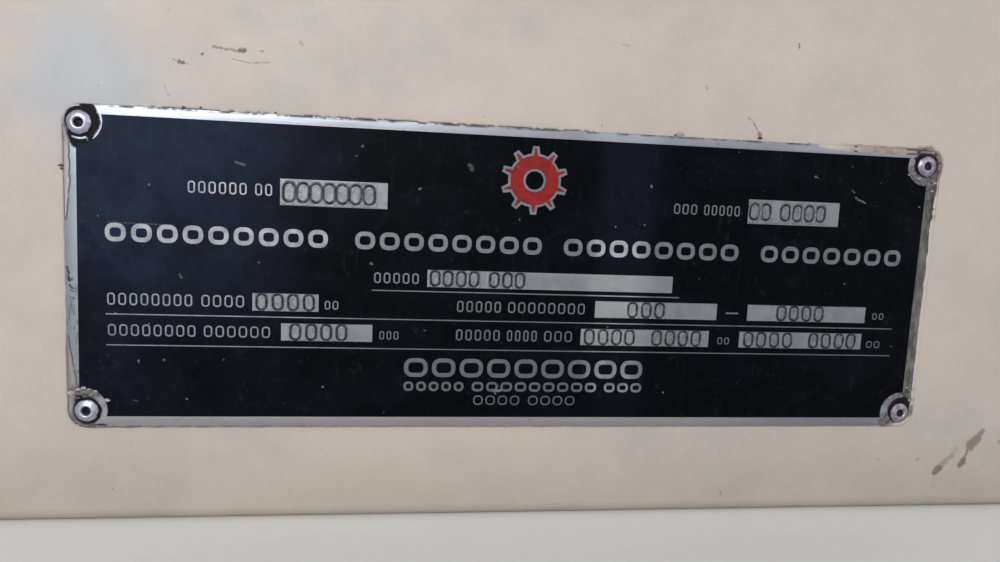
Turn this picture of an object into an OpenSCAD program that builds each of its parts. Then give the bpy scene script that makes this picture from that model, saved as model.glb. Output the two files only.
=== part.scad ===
// Data plate of a factory machine, held by four set blind rivets on a folded steel cover panel.
// X runs along the plate, Y runs into the panel and Z is up.
// The panel stands on its lower flange, with the origin in the middle of its footprint.

/* [Cover panel] */
// Width of the panel
panel_w = 400; // [340:5:520]
// Height of the panel
panel_h = 220; // [170:5:360]
// Depth of the panel, from its front face to the back of its lips
panel_d = 40; // [30:1:60]
// Thickness of the steel sheet
sheet_t = 2; // [1.5:0.1:2.5]
// Inner radius of every bend
bend_r = 2.5; // [1.5:0.1:3.5]
// Width of the rear lips, from the outside of the flange
lip_w = 24; // [20:1:30]
// Open seam where two flanges or two lips meet at a corner
seam_gap = 0.8; // [0.4:0.1:1.5]
// Diameter of the relief hole where two bends meet
relief_d = 4; // [3:0.5:6]

/* [Fixing holes] */
// Diameter of the holes in the lips, clear for an M6 screw
fix_hole_d = 6.6; // [5.5:0.1:9]
// Distance from the panel's sides to the fixing holes
fix_inset_x = 40; // [32:1:80]
// Distance from the panel's top and bottom to the fixing holes
fix_inset_z = 13; // [11:0.5:14]

/* [Data plate] */
// Length of the plate
plate_w = 260; // [240:1:320]
// Height of the plate
plate_h = 90; // [80:1:120]
// Thickness of the plate
plate_t = 1; // [0.8:0.1:1.5]
// Radius of the plate's corners
plate_corner_r = 5; // [2:0.5:8]
// Height of the plate's lower edge above the panel's lower edge
plate_lift = 29; // [15:1:60]
// Depth of the black field below the bare metal
etch_depth = 0.15; // [0.05:0.05:0.3]
// Width of the bare metal border along the plate's top and bottom
border_w = 3; // [2:0.25:4]
// Width of the bare metal border along the plate's ends
end_border_w = 3.75; // [2:0.25:5]
// Radius of the bare metal lobe round each rivet
lobe_r = 6.25; // [5:0.25:7]
// Distance from the plate's edges to the middle of each rivet
rivet_inset = 5; // [4.5:0.25:8]

/* [Fields and rules] */
// Height of the raised value fields
field_h = 5.2; // [4:0.1:6]
// Height of the two taller value fields near the top
tall_field_h = 7.5; // [6:0.1:9]
// Thickness of the raised rules
rule_t = 0.4; // [0.3:0.05:0.8]
// Distance from the plate's ends to the marked area
mark_margin = 10.5; // [8:0.5:13]
// Top left field: distance from the left of the marked area, and width
top_left_field = [47, 30]; // [18:0.5:120]
// Top right field: distance back from the right of the marked area, and width
top_right_field = [52.5, 30]; // [18:0.5:120]
// Long field in the middle: distance to the left of the plate's middle, and width
middle_field = [30.5, 75]; // [18:0.5:120]
// Rule under the long field: distance to the left of the plate's middle, and length
middle_rule = [46.5, 93.5]; // [18:0.5:120]
// Field of the upper left row: distance from the left of the marked area, and width
upper_left_field = [39.5, 18.5]; // [18:0.5:120]
// Field of the lower left row: distance from the left of the marked area, and width
lower_left_field = [47.5, 26]; // [18:0.5:120]
// First field of the upper right row: distance back from the right of the marked area, and width
upper_right_field = [99, 39]; // [18:0.5:120]
// Second field of the upper right row: distance back from the right of the marked area, and width
upper_end_field = [50, 40]; // [18:0.5:120]
// First field of the lower right row: distance back from the right of the marked area, and width
lower_right_field = [103, 41]; // [18:0.5:120]
// Second field of the lower right row: distance back from the right of the marked area, and width
lower_end_field = [52, 41.5]; // [18:0.5:120]

/* [Cog mark] */
// Diameter of the plain cog mark, over its teeth
cog_d = 20; // [16:0.5:22]
// Height of the cog's teeth
tooth_h = 2.1; // [1.5:0.1:2.5]
// Width of a tooth at its foot
tooth_foot_w = 2.6; // [2.2:0.1:3]
// Width of a tooth at its tip
tooth_tip_w = 1.9; // [1.8:0.1:2.2]
// Width of the raised line round the cog and round its hole
cog_line_w = 0.7; // [0.5:0.05:0.8]
// Diameter of the cog's hole
cog_hole_d = 5.4; // [4:0.2:8]

/* [Blind rivets] */
// Diameter of the rivet's shank
rivet_d = 3.2; // [3:0.1:4]
// Diameter of the rivet's head
head_d = 6.5; // [6.2:0.1:7.6]
// Thickness of the head at its rim
head_rim_t = 0.35; // [0.25:0.05:0.5]
// Height of the head's raised collar above the plate
collar_h = 1.05; // [0.9:0.05:1.4]
// Outer diameter of the raised collar
collar_d = 4.2; // [3.8:0.1:4.8]
// Diameter of the mouth of the mandrel hole
mouth_d = 2.5; // [2.3:0.1:2.8]
// Diameter of the bulge behind the sheet
bulge_d = 4.8; // [4.4:0.1:5.6]
// Length of the rivet behind the sheet
tail_l = 4; // [3.4:0.1:5]
// Clearance between the shank and its holes, all round
hole_clear = 0.05; // [0.02:0.01:0.15]

/* [Rivet mandrels] */
// Diameter of the mandrel's stem
mandrel_d = 1.85; // [1.6:0.05:2.1]
// Diameter of the mandrel's head
mandrel_head_d = 2.9; // [2.6:0.05:3.1]
// Depth of the pocket that the mandrel's head sits in
pocket_l = 1.4; // [1:0.1:1.8]
// Wall of the rivet round the mandrel's head
pocket_wall = 0.3; // [0.2:0.05:0.5]
// Depth of the broken end below the plate's face
break_depth = 0.5; // [0.2:0.1:1.5]
// Clearance between the mandrel and the rivet, all round
mandrel_clear = 0.03; // [0.02:0.01:0.05]

/* [Hidden] */
$fn = 96;

// Cut-through allowance
over = 1;

// The panel's front face is set so that the whole part is centred on the origin in Y
front_y = (plate_t + collar_h - panel_d) / 2;
bend_out = bend_r + sheet_t;

// Middle of the plate, and of its rivets on either side of it
plate_z = plate_lift + plate_h / 2;
rivet_x = plate_w / 2 - rivet_inset;
rivet_z = plate_h / 2 - rivet_inset;

// Marked area, measured from the middle of the plate
left_end = mark_margin - plate_w / 2;
right_end = plate_w / 2 - mark_margin;

// Heights of the rows and rules, measured from the middle of the plate
cog_row = 30;
tall_row = 23.6;
middle_row = 0.2;
middle_rule_v = -3.7;
upper_row = -7.9;
upper_rule_v = -12.2;
lower_row = -16.5;
lower_rule_v = -21;
tooth_count = 10;

// Rivet: everything behind the head is measured from the plate's face
grip = plate_t + sheet_t;
head_r = head_d / 2;
collar_r = collar_d / 2;
mouth_r = mouth_d / 2;
bore_r = mandrel_d / 2 + mandrel_clear;
crest_r = (collar_r - mouth_r) / 2;
crest_z = collar_h - crest_r;
mouth_depth = 0.4;
bulge_round = 1.6;
bulge_drop = 0.9;
pocket_r = mandrel_head_d / 2 + mandrel_clear;
seat_z = pocket_l - grip - tail_l;
mandrel_neck_l = 0.4;
mandrel_neck_r = 0.6;
mandrel_rim_l = 1;

module cover_panel() {
  color("wheat")
  translate([0, front_y, 0])
  difference() {
    folded_tray();
    corner_reliefs();
    lip_seams();
    on_four(panel_w / 2 - fix_inset_x, panel_h / 2 - fix_inset_z, panel_h / 2)
      bore_through(fix_hole_d, panel_d - sheet_t, sheet_t);
    on_four(rivet_x, rivet_z, plate_z)
      bore_through(rivet_d + 2 * hole_clear, 0, sheet_t);
  }
}

// The flat front with one folded edge on each side; the side flanges stop short of the others
module folded_tray() {
  skin_w = panel_w - 2 * bend_out;
  skin_h = panel_h - 2 * bend_out;
  translate([-skin_w / 2, 0, bend_out])
    cube([skin_w, sheet_t, skin_h]);
  folded_edge(panel_w);
  translate([0, 0, panel_h])
    mirror([0, 0, 1])
      folded_edge(panel_w);
  for (side = [-1, 1])
    translate([side * panel_w / 2, 0, panel_h / 2])
      rotate([0, -side * 90, 0])
        folded_edge(panel_h - 2 * (sheet_t + seam_gap));
}

// One folded edge that runs along X and rises from its outer face at Z = 0
module folded_edge(length) {
  rotate([90, 0, 90])
    translate([0, 0, -length / 2])
      linear_extrude(length)
        edge_section();
}

// Section of a folded edge: bend, flange, bend and lip
module edge_section() {
  translate([bend_out, bend_out])
    bend_quarter(180);
  translate([bend_out, 0])
    square([panel_d - 2 * bend_out, sheet_t]);
  translate([panel_d - bend_out, bend_out])
    bend_quarter(270);
  translate([panel_d - sheet_t, bend_out])
    square([sheet_t, lip_w - bend_out]);
}

module bend_quarter(turn) {
  rotate(turn)
    intersection() {
      difference() {
        circle(r = bend_out);
        circle(r = bend_r);
      }
      square(bend_out);
    }
}

// Each corner is cut square outside the bend lines, with a round relief where the lines cross
module corner_reliefs() {
  for (side = [-1, 1], level = [0, 1], depth = [0, 1])
    translate([side * panel_w / 2, depth * panel_d, level * panel_h])
      mirror([side > 0 ? 1 : 0, 0, 0])
        mirror([0, 0, level])
          mirror([0, depth, 0])
            corner_relief();
}

module corner_relief() {
  translate([-over, -over, -over])
    cube(bend_out + over);
  translate([bend_out, -over, bend_out])
    rotate([-90, 0, 0])
      cylinder(d = relief_d, h = bend_out + over);
}

// The lips are parted by a seam on the diagonal of each corner
module lip_seams() {
  for (side = [-1, 1], level = [0, 1])
    translate([side * panel_w / 2, panel_d - bend_out, level * panel_h])
      mirror([side > 0 ? 1 : 0, 0, 0])
        mirror([0, 0, level])
          rotate([0, -45, 0])
            translate([0, 0, -seam_gap / 2])
              cube([lip_w * sqrt(2) + over, bend_out + over, seam_gap]);
}

module data_plate() {
  color("silver")
  difference() {
    union() {
      plate_layer(0, plate_t - etch_depth)
        plate_outline();
      plate_layer(plate_t - etch_depth, etch_depth)
        raised_metal();
    }
    translate([0, front_y - plate_t, 0])
      on_four(rivet_x, rivet_z, plate_z)
        bore_through(rivet_d + 2 * hole_clear, 0, plate_t);
  }
}

// A flat layer that starts a given height above the panel, drawn from the middle of the plate
module plate_layer(start, thickness) {
  translate([0, front_y - start, plate_z])
    rotate([90, 0, 0])
      linear_extrude(thickness)
        children();
}

module rounded_rect(w, h, r) {
  for (x = [-1, 1], y = [-1, 1])
    translate([x * (w / 2 - r), y * (h / 2 - r)])
      circle(r = r);
  square([w - 2 * r, h], center = true);
  square([w, h - 2 * r], center = true);
}

module plate_outline() {
  rounded_rect(plate_w, plate_h, plate_corner_r);
}

// Bare metal left standing: the border, the lobes, the value fields, the rules and the cog's lines
module raised_metal() {
  border();
  value_fields();
  rules();
  translate([0, cog_row])
    cog_mark();
}

module border() {
  inner_w = plate_w - 2 * end_border_w;
  inner_h = plate_h - 2 * border_w;
  difference() {
    plate_outline();
    difference() {
      square([inner_w, inner_h], center = true);
      for (x = [-rivet_x, rivet_x], y = [-rivet_z, rivet_z])
        translate([x, y])
          circle(r = lobe_r);
    }
  }
}

// Each field is given by its left end, its width, its row and its height
module value_fields() {
  field(left_end + top_left_field[0], top_left_field[1], tall_row, tall_field_h);
  field(right_end - top_right_field[0], top_right_field[1], tall_row, tall_field_h);
  field(-middle_field[0], middle_field[1], middle_row, field_h);
  field(left_end + upper_left_field[0], upper_left_field[1], upper_row, field_h);
  field(left_end + lower_left_field[0], lower_left_field[1], lower_row, field_h);
  field(right_end - upper_right_field[0], upper_right_field[1], upper_row, field_h);
  field(right_end - upper_end_field[0], upper_end_field[1], upper_row, field_h);
  field(right_end - lower_right_field[0], lower_right_field[1], lower_row, field_h);
  field(right_end - lower_end_field[0], lower_end_field[1], lower_row, field_h);
}

module field(left, width, row, height) {
  translate([left, row - height / 2])
    square([width, height]);
}

module rules() {
  rule(-middle_rule[0], middle_rule[1], middle_rule_v);
  rule(left_end, right_end - left_end, upper_rule_v);
  rule(left_end, right_end - left_end, lower_rule_v);
}

module rule(left, length, height) {
  translate([left, height - rule_t / 2])
    square([length, rule_t]);
}

// A raised line round a plain cog, and another round its hole
module cog_mark() {
  difference() {
    cog(0);
    cog(-cog_line_w);
  }
  difference() {
    circle(d = cog_hole_d + 2 * cog_line_w);
    circle(d = cog_hole_d);
  }
}

// The cog's outline, moved outwards by the given amount
module cog(grow) {
  foot_r = cog_d / 2 - tooth_h + grow;
  foot_half = tooth_foot_w / 2 + grow;
  tip_half = tooth_tip_w / 2 + grow;
  foot_height = sqrt(pow(foot_r, 2) - pow(foot_half, 2));
  circle(r = foot_r);
  for (tooth = [0 : tooth_count - 1])
    rotate(tooth * 360 / tooth_count)
      polygon([
        [-foot_half, 0],
        [foot_half, 0],
        [foot_half, foot_height],
        [tip_half, cog_d / 2 + grow],
        [-tip_half, cog_d / 2 + grow],
        [-foot_half, foot_height]
      ]);
}

// Places something at the four corners of a rectangle round the middle of the panel's width
module on_four(x, z, middle_z) {
  for (side = [-1, 1], level = [-1, 1])
    translate([side * x, 0, middle_z + level * z])
      children();
}

// A round hole along Y through a sheet that starts at the given depth
module bore_through(diameter, depth, thickness) {
  translate([0, depth - over, 0])
    rotate([-90, 0, 0])
      cylinder(d = diameter, h = thickness + 2 * over);
}

// Turns a section about the rivet's axis; its height 0 lies on the plate's face
module turned_at(side, level) {
  translate([side * rivet_x, front_y - plate_t, plate_z + level * rivet_z])
    rotate([90, 0, 0])
      rotate_extrude()
        children();
}

module blind_rivet(side, level) {
  color("gainsboro")
  turned_at(side, level)
    difference() {
      union() {
        rivet_head_section();
        translate([0, -grip])
          square([rivet_d / 2, grip]);
        rivet_tail_section();
      }
      rivet_bore_section();
    }
}

// Domed head with a rounded rim and a rounded collar round the hole
module rivet_head_section() {
  rim_r = head_rim_t / 2;
  translate([head_r - rim_r, rim_r])
    circle(r = rim_r, $fn = 48);
  polygon([
    [0, 0],
    [head_r - rim_r, 0],
    [head_r - rim_r, head_rim_t],
    [collar_r, crest_z],
    [0, crest_z]
  ]);
  translate([collar_r - crest_r, crest_z])
    circle(r = crest_r, $fn = 48);
}

// Bulge against the back of the sheet, and the sleeve round the mandrel's head
module rivet_tail_section() {
  sleeve_r = pocket_r + pocket_wall;
  intersection() {
    translate([bulge_d / 2 - bulge_round, -grip - bulge_drop])
      circle(r = bulge_round);
    translate([0, -grip - tail_l])
      square([bulge_d, tail_l]);
  }
  translate([0, -grip - tail_l])
    square([sleeve_r, tail_l]);
}

// Hole for the mandrel, its widened mouth and the pocket for the mandrel's head
module rivet_bore_section() {
  translate([0, -grip - tail_l - over])
    square([bore_r, grip + tail_l + collar_h + 2 * over]);
  polygon([
    [0, crest_z],
    [mouth_r, crest_z],
    [bore_r, crest_z - mouth_depth],
    [0, crest_z - mouth_depth]
  ]);
  translate([0, -grip - tail_l - over])
    square([pocket_r, pocket_l + over]);
}

module mandrel(side, level) {
  color("dimgray")
  turned_at(side, level)
    mandrel_section();
}

// Stem with its broken end, and the head that stays in the rivet's tail
module mandrel_section() {
  stem_r = mandrel_d / 2;
  polygon([
    [0, seat_z],
    [stem_r, seat_z],
    [stem_r, -break_depth - mandrel_neck_l],
    [mandrel_neck_r, -break_depth],
    [0, -break_depth]
  ]);
  translate([0, seat_z - mandrel_rim_l])
    square([mandrel_head_d / 2, mandrel_rim_l]);
  intersection() {
    translate([0, seat_z - mandrel_rim_l])
      circle(d = mandrel_head_d);
    translate([0, seat_z - mandrel_rim_l - mandrel_head_d])
      square([mandrel_head_d, mandrel_head_d]);
  }
}

module rivet_top_left() { blind_rivet(-1, 1); }
module rivet_top_right() { blind_rivet(1, 1); }
module rivet_bottom_left() { blind_rivet(-1, -1); }
module rivet_bottom_right() { blind_rivet(1, -1); }

module mandrel_top_left() { mandrel(-1, 1); }
module mandrel_top_right() { mandrel(1, 1); }
module mandrel_bottom_left() { mandrel(-1, -1); }
module mandrel_bottom_right() { mandrel(1, -1); }

cover_panel();
data_plate();
rivet_top_left();
rivet_top_right();
rivet_bottom_left();
rivet_bottom_right();
mandrel_top_left();
mandrel_top_right();
mandrel_bottom_left();
mandrel_bottom_right();
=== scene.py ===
"""A data plate held by four blind rivets on the cream painted cover panel of a factory machine.

Lengths are in millimetres and become metres where a mesh, a light or the camera is made.
On the plate, u runs right and v runs up from its middle, and lift is the height above its bare metal face.
"""

import math
import random

import bmesh
import bpy
from mathutils import Matrix, Vector, noise
from mathutils.geometry import delaunay_2d_cdt


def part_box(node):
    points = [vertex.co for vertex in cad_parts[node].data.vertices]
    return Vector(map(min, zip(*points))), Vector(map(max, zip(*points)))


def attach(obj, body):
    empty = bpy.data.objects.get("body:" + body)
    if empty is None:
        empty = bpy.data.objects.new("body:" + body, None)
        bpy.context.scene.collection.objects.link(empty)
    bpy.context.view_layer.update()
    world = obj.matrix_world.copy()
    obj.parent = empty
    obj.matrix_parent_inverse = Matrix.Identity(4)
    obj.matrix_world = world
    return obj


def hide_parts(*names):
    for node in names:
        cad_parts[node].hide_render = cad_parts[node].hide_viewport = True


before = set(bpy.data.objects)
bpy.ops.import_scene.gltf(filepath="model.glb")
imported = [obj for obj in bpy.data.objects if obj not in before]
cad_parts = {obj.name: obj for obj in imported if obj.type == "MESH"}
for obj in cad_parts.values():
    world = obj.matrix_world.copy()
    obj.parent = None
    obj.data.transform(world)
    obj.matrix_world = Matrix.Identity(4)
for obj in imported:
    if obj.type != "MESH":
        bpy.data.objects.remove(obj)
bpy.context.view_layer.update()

MM = 0.001
RIVET_NAMES = ("top_left", "top_right", "bottom_left", "bottom_right")


def box_mm(node):
    low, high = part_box(node)
    return low / MM, high / MM


# Places taken from the frame
PLATE_LOW, PLATE_HIGH = box_mm("data_plate")
PANEL_LOW, PANEL_HIGH = box_mm("cover_panel")
PLATE_W = PLATE_HIGH.x - PLATE_LOW.x
PLATE_H = PLATE_HIGH.z - PLATE_LOW.z
PLATE_T = PLATE_HIGH.y - PLATE_LOW.y
MIDDLE = Vector(((PLATE_LOW.x + PLATE_HIGH.x) / 2, PLATE_LOW.y, (PLATE_LOW.z + PLATE_HIGH.z) / 2))


def rivet_place(name):
    low, high = box_mm("rivet_" + name)
    return (low.x + high.x) / 2 - MIDDLE.x, (low.z + high.z) / 2 - MIDDLE.z


RIVETS = {name: rivet_place(name) for name in RIVET_NAMES}
RIVET_U, RIVET_V = (abs(value) for value in RIVETS["top_right"])

# Edges of the plate's black field, and the slope of its left edge
FIELD_TOP = 42.35
FIELD_LOW = -41.7
FIELD_RIGHT = 125.7
FIELD_LEFT = -126.4
FIELD_LEAN = 0.014

# The plate's outline and relief
ETCH = 0.15
CORNER_R = 5.0
EDGE_LEAN = 0.8
HOLE_R = 1.65
HOLE_STEPS = 48
RULE_T = 0.4
MARK_MARGIN = 10.5
FIELD_H = 5.2
TALL_FIELD_H = 7.5
SLOPE = 0.05
EDGE_ROUND = 0.12
FILM = 0.03
MARK_TARNISH = 0.5
LEFT_END = MARK_MARGIN - PLATE_W / 2
RIGHT_END = PLATE_W / 2 - MARK_MARGIN

# Rows of the plate
TALL_ROW = 23.6
TITLE_ROW = 10.7
MIDDLE_ROW = 0.2
MIDDLE_RULE = -3.7
MIDDLE_RULE_START = -46.5
MIDDLE_RULE_LENGTH = 93.5
UPPER_ROW = -7.9
UPPER_RULE = -12.2
LOWER_ROW = -16.5
LOWER_RULE = -21.0
COG_ROW = 30.0

# Value fields: left end, width, row, height, then the punched zeros as (start, count, pitch, height)
FIELDS = (
    (LEFT_END + 47, 30, TALL_ROW, TALL_FIELD_H, ((2.6, 7, 3.7, 5.4),)),
    (RIGHT_END - 52.5, 30, TALL_ROW, TALL_FIELD_H, ((2.2, 2, 3.6, 4.8), (12.2, 4, 3.9, 4.8))),
    (-30.5, 75, MIDDLE_ROW, FIELD_H, ((2.4, 4, 3.8, 4.3), (20.0, 3, 3.8, 4.3))),
    (LEFT_END + 39.5, 18.5, UPPER_ROW, FIELD_H, ((2.6, 4, 4.4, 4.5),)),
    (LEFT_END + 47.5, 26, LOWER_ROW, FIELD_H, ((4.0, 4, 4.4, 4.5),)),
    (RIGHT_END - 99, 39, UPPER_ROW, FIELD_H, ((12.0, 3, 4.2, 4.5),)),
    (RIGHT_END - 50, 40, UPPER_ROW, FIELD_H, ((11.4, 4, 4.2, 4.5),)),
    (RIGHT_END - 103, 41, LOWER_ROW, FIELD_H, ((2.9, 4, 4.2, 4.5), (24.3, 4, 4.2, 4.5))),
    (RIGHT_END - 52, 41.5, LOWER_ROW, FIELD_H, ((3.2, 4, 4.3, 4.5), (25.1, 4, 4.3, 4.5))),
)

# Rows of plain raised zeros: row, height, stroke, gap, then groups as (left, right, zeros)
ZERO_ROWS = (
    (TITLE_ROW, 5.2, 1.30, 1.25, ((-119.2, -59.1, 9), (-51.5, 3.2, 8), (9.8, 65.0, 8), (72.3, 119.6, 7))),
    (24.0, 3.4, 0.45, 0.75, ((-97.3, -81.5, 6), (-79.3, -74.6, 2))),
    (23.5, 3.2, 0.42, 0.70, ((43.2, 50.6, 3), (52.8, 64.3, 5))),
    (0.0, 3.2, 0.45, 0.75, ((-45.9, -32.9, 5),)),
    (UPPER_ROW, 3.5, 0.45, 0.80, ((-119.0, -96.3, 8), (-93.9, -82.2, 4))),
    (-8.4, 2.6, 0.36, 0.60, ((-59.8, -55.9, 2),)),
    (LOWER_ROW - 0.2, 3.4, 0.45, 0.80, ((-119.0, -95.5, 8), (-93.3, -75.0, 6))),
    (-17.0, 2.6, 0.36, 0.60, ((-44.0, -38.4, 3),)),
    (UPPER_ROW, 3.4, 0.45, 0.80, ((-21.5, -8.3, 5), (-6.2, 17.4, 8))),
    (-8.2, 2.2, 0.36, 0.60, ((112.0, 115.9, 2),)),
    (LOWER_ROW, 3.4, 0.45, 0.80, ((-21.5, -8.3, 5), (-6.2, 3.0, 4), (5.2, 13.9, 3))),
    (-17.0, 2.3, 0.36, 0.55, ((60.4, 64.3, 2),)),
    (-17.4, 2.3, 0.36, 0.55, ((110.9, 115.6, 2),)),
    (-26.6, 5.8, 1.30, 1.20, ((-36.6, 36.8, 9),)),
    (-32.3, 3.0, 0.75, 0.75, ((-36.6, -18.6, 5), (-16.2, 22.4, 9), (24.8, 36.8, 3))),
    (-36.5, 3.0, 0.42, 0.75, ((-15.6, -1.4, 4), (1.2, 15.8, 4))),
)

# One raised dash: left end, right end, row, height
DASH = (62.4, 66.6, -8.2, 0.6)

# Plain cog mark, as in the solid
COG_R = 10.0
TOOTH_H = 2.1
TOOTH_FOOT_W = 2.6
TOOTH_TIP_W = 1.9
COG_TEETH = 10
COG_LINE = 0.7
COG_HOLE_R = 2.7

# Punched zeros
PUNCH_DEPTH = 0.11
PUNCH_RIM = 0.05
PUNCH_LINE = 0.36
PUNCH_ASPECT = 0.60
PUNCH_STEP = 0.17
PUNCH_ASIDE = 0.85
PUNCH_ABOVE = 0.75
PUNCH_CLEAR = SLOPE + 0.07

# Rivet heads and tails, as in the solids
HEAD_RIM = 0.35
COLLAR_R = 2.1
MOUTH_R = 1.25
MOUTH_DEPTH = 0.4
BORE_R = 0.955
SHANK_R = 1.6
GRIP = 3.0
POCKET_L = 1.4
POCKET_R = 1.48
POCKET_WALL = 0.3
BULGE_R = 2.4
BULGE_ROUND = 1.6
BULGE_DROP = 0.9

# The paint round the plate, at points of the plate's edge, as (u, v, width of the lap, darkness of its
# dirt and painted edge shade)
PAINT_LAP = (
    (-130, 42, 0, 0.5), (-130, 39, 0.5, 0.9), (-130, 35, 1.6, 1), (-130, 23, 1.5, 1), (-130, 17, 0.9, 1),
    (-130, 13, 0.3, 0.9), (-130, 3, 0.25, 0.9), (-130, -5, 0.2, 1), (-130, -16, 0.2, 1),
    (-130, -20, 0.6, 1), (-130, -26, 1.5, 1), (-130, -33, 2.4, 1), (-130, -38, 1.4, 1),
    (-128.5, -43.5, 0.9, 1), (-122, -45, 0.3, 1), (-114, -45, 0, 1), (0, -45, 0, 1), (110, -45, 0, 0.8),
    (120, -45, 0.3, 0.5), (128.5, -43.5, 0.9, 0.2), (130, -39, 1.1, 0.3), (130, -34, 0.9, 0.6),
    (130, -28, 1, 0.35), (130, -20, 0.9, 0), (130, 15, 1, 0), (130, 21, 1.1, 0.15), (130, 29, 0.8, 0.6),
    (130, 38, 0.8, 0.8), (128.5, 43.5, 0.7, 1), (122, 45, 1.2, 1), (117, 45, 1.5, 0.35),
    (100, 45, 1.4, 0.2), (92, 45, 1.1, 0.25), (87, 45, 0.3, 0.4), (80, 45, 0, 0.15), (20, 45, 0, 0.1),
    (15, 45, 0, 0.7), (-50, 45, 0, 0.65), (-58, 45, 0, 0.35), (-74, 45, 0, 0.4), (-92, 45, 0, 0.6),
    (-95, 45, 0, 1), (-100, 45, 0, 1), (-104, 45, 0, 0.5), (-118, 45, 0, 0.25), (-128.5, 43.5, 0, 0.3),
)

# Distance between the sections of that paint
STATION_STEP = 0.55

# Crumbs of dried grease and flakes of paint on and beside the plate, as (u, v, size)
CRUMBS = (
    (42.4, 45.4, 0.8), (69.2, 46, 1.2), (-98.4, 45.5, 0.9), (-93.9, 45.7, 0.8), (-78.5, 45.3, 0.6),
    (-74, 45.3, 0.7), (-129.8, 28.3, 1.1), (-129.7, 27.4, 0.9), (-20.5, 45.2, 0.5), (121.6, 44.4, 1.3),
    (124.5, 45.3, 1.2), (127.6, 43.9, 1.2), (129, 41.2, 1), (129.4, 38.6, 0.9), (127, 35.4, 0.7),
    (128.2, 33.8, 0.9), (126.6, 33.2, 0.7), (128.4, 31.2, 1), (127.2, 29.4, 0.7), (128.6, 26.8, 0.8),
    (126.9, 24.6, 0.7), (127.8, -33, 0.9), (126.4, -34.4, 0.7), (128.3, -30.2, 0.7), (-127.4, -36.4, 1),
)
FLAKES = (
    (-129, -35, 1.5), (-127.2, -33.9, 1), (-125.8, -33.5, 1.1), (-124.4, -33.9, 0.8),
    (-122.6, -34.4, 0.7), (-119.7, -37, 1.1), (-128.7, -43.6, 0.8), (-127.6, -44.2, 0.6),
    (119.4, 37.2, 0.8), (122.9, 36.1, 0.7), (44.1, 45.9, 1.7), (128.4, 35, 0.9), (127.9, 32.4, 0.7),
    (126.9, -31.6, 0.8), (128.4, -35.8, 0.9), (126.6, 44.3, 0.7),
)

# Lobes round the rivets: how far each middle lies from its rivet's, and the radius
LOBES = {
    "top_left": (-0.2, 0.6, 6.1),
    "top_right": (0.0, 0.1, 6.2),
    "bottom_left": (-1.0, 0.1, 6.5),
    "bottom_right": (0.1, 0.0, 6.7),
}

# Colours, linear
CREAM = (0.505, 0.446, 0.398, 1)
CREAM_GREY = (0.440, 0.400, 0.372, 1)
CREAM_WARM = (0.540, 0.470, 0.408, 1)
# Bluish cast of painted light on the cream
CREAM_PAINTED_BLUE_LIGHT = (0.390, 0.412, 0.450, 1)
CREAM_SOIL = (0.310, 0.258, 0.200, 1)
LAP_GREY = (0.215, 0.200, 0.195, 1)
LAP_BROWN = (0.265, 0.215, 0.185, 1)
LAP_PINK = (0.390, 0.350, 0.372, 1)
LAP_DIRT = (0.085, 0.072, 0.088, 1)
INSIDE_DUST = (0.300, 0.265, 0.220, 1)
DIRT = (0.045, 0.031, 0.030, 1)
BROWN_DIRT = (0.105, 0.070, 0.058, 1)
DRY_DIRT = (0.100, 0.074, 0.072, 1)
CRUST = (0.240, 0.175, 0.160, 1)
RUST = (0.190, 0.070, 0.032, 1)
PRIMER = (0.110, 0.095, 0.085, 1)
SCUFF = (0.080, 0.070, 0.062, 1)
ENAMEL = (0.0015, 0.0018, 0.0034, 1)
# Painted reflection on the enamel
ENAMEL_PAINTED_REFLECTION = (0.018, 0.026, 0.050, 1)
ENAMEL_OIL = (0.0034, 0.0037, 0.0064, 1)
# Painted highlight on the enamel
ENAMEL_PAINTED_HIGHLIGHT = (0.0055, 0.0062, 0.0125, 1)
ENAMEL_FLECK = (0.030, 0.052, 0.070, 1)
ENAMEL_WIPED = (0.060, 0.066, 0.088, 1)
ENAMEL_FILM = (0.080, 0.078, 0.084, 1)
DUST = (0.220, 0.230, 0.250, 1)
BARE = (0.350, 0.378, 0.450, 1)
BARE_DULL = (0.240, 0.240, 0.262, 1)
LEFT_DULL = (0.225, 0.262, 0.270, 1)
FOOT_DULL = (0.375, 0.350, 0.358, 1)
# Raised marks and value fields: their bright tones are laid on as painted light
MARK_DULL = (0.095, 0.104, 0.124, 1)
MARK_BRIGHT = (0.400, 0.410, 0.440, 1)
FIELD_DULL = (0.130, 0.130, 0.150, 1)
FIELD_BRIGHT = (0.360, 0.362, 0.372, 1)
BARE_STREAK = (0.330, 0.338, 0.365, 1)
TARNISHED = (0.262, 0.266, 0.288, 1)
INK = (0.010, 0.010, 0.014, 1)
# Grime, and painted shade in the rivets' holes
GRIME_AND_SHADE = (0.0085, 0.0070, 0.0085, 1)
SOIL_DARK = (0.040, 0.034, 0.036, 1)
SOIL_PALE = (0.205, 0.180, 0.178, 1)
RIGHT_SOIL = (0.078, 0.073, 0.070, 1)
RIGHT_PALE = (0.165, 0.160, 0.150, 1)
OLD_PAINT = (0.430, 0.405, 0.405, 1)
OLD_PAINT_SHADE = (0.250, 0.225, 0.228, 1)
RED = (0.245, 0.014, 0.015, 1)
RED_DARK = (0.110, 0.010, 0.011, 1)
RIVET_METAL = (0.560, 0.552, 0.650, 1)
# Mottling on the rivets, and painted shade on their domes
RIVET_SHADE = (0.250, 0.240, 0.320, 1)
# Painted shade and soil on the right-hand rivets
RIVET_RIGHT_SHADE_AND_SOIL = (0.165, 0.138, 0.168, 1)
# Mandrel steel, near-black as painted shade of the rivets' holes
MANDREL_PAINTED_SHADE = (0.010, 0.011, 0.020, 1)
MANDREL_RUST_IN_SHADE = (0.014, 0.012, 0.016, 1)
PALE = (0.800, 0.800, 0.795, 1)
PALE_SHADE = (0.745, 0.745, 0.740, 1)

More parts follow.
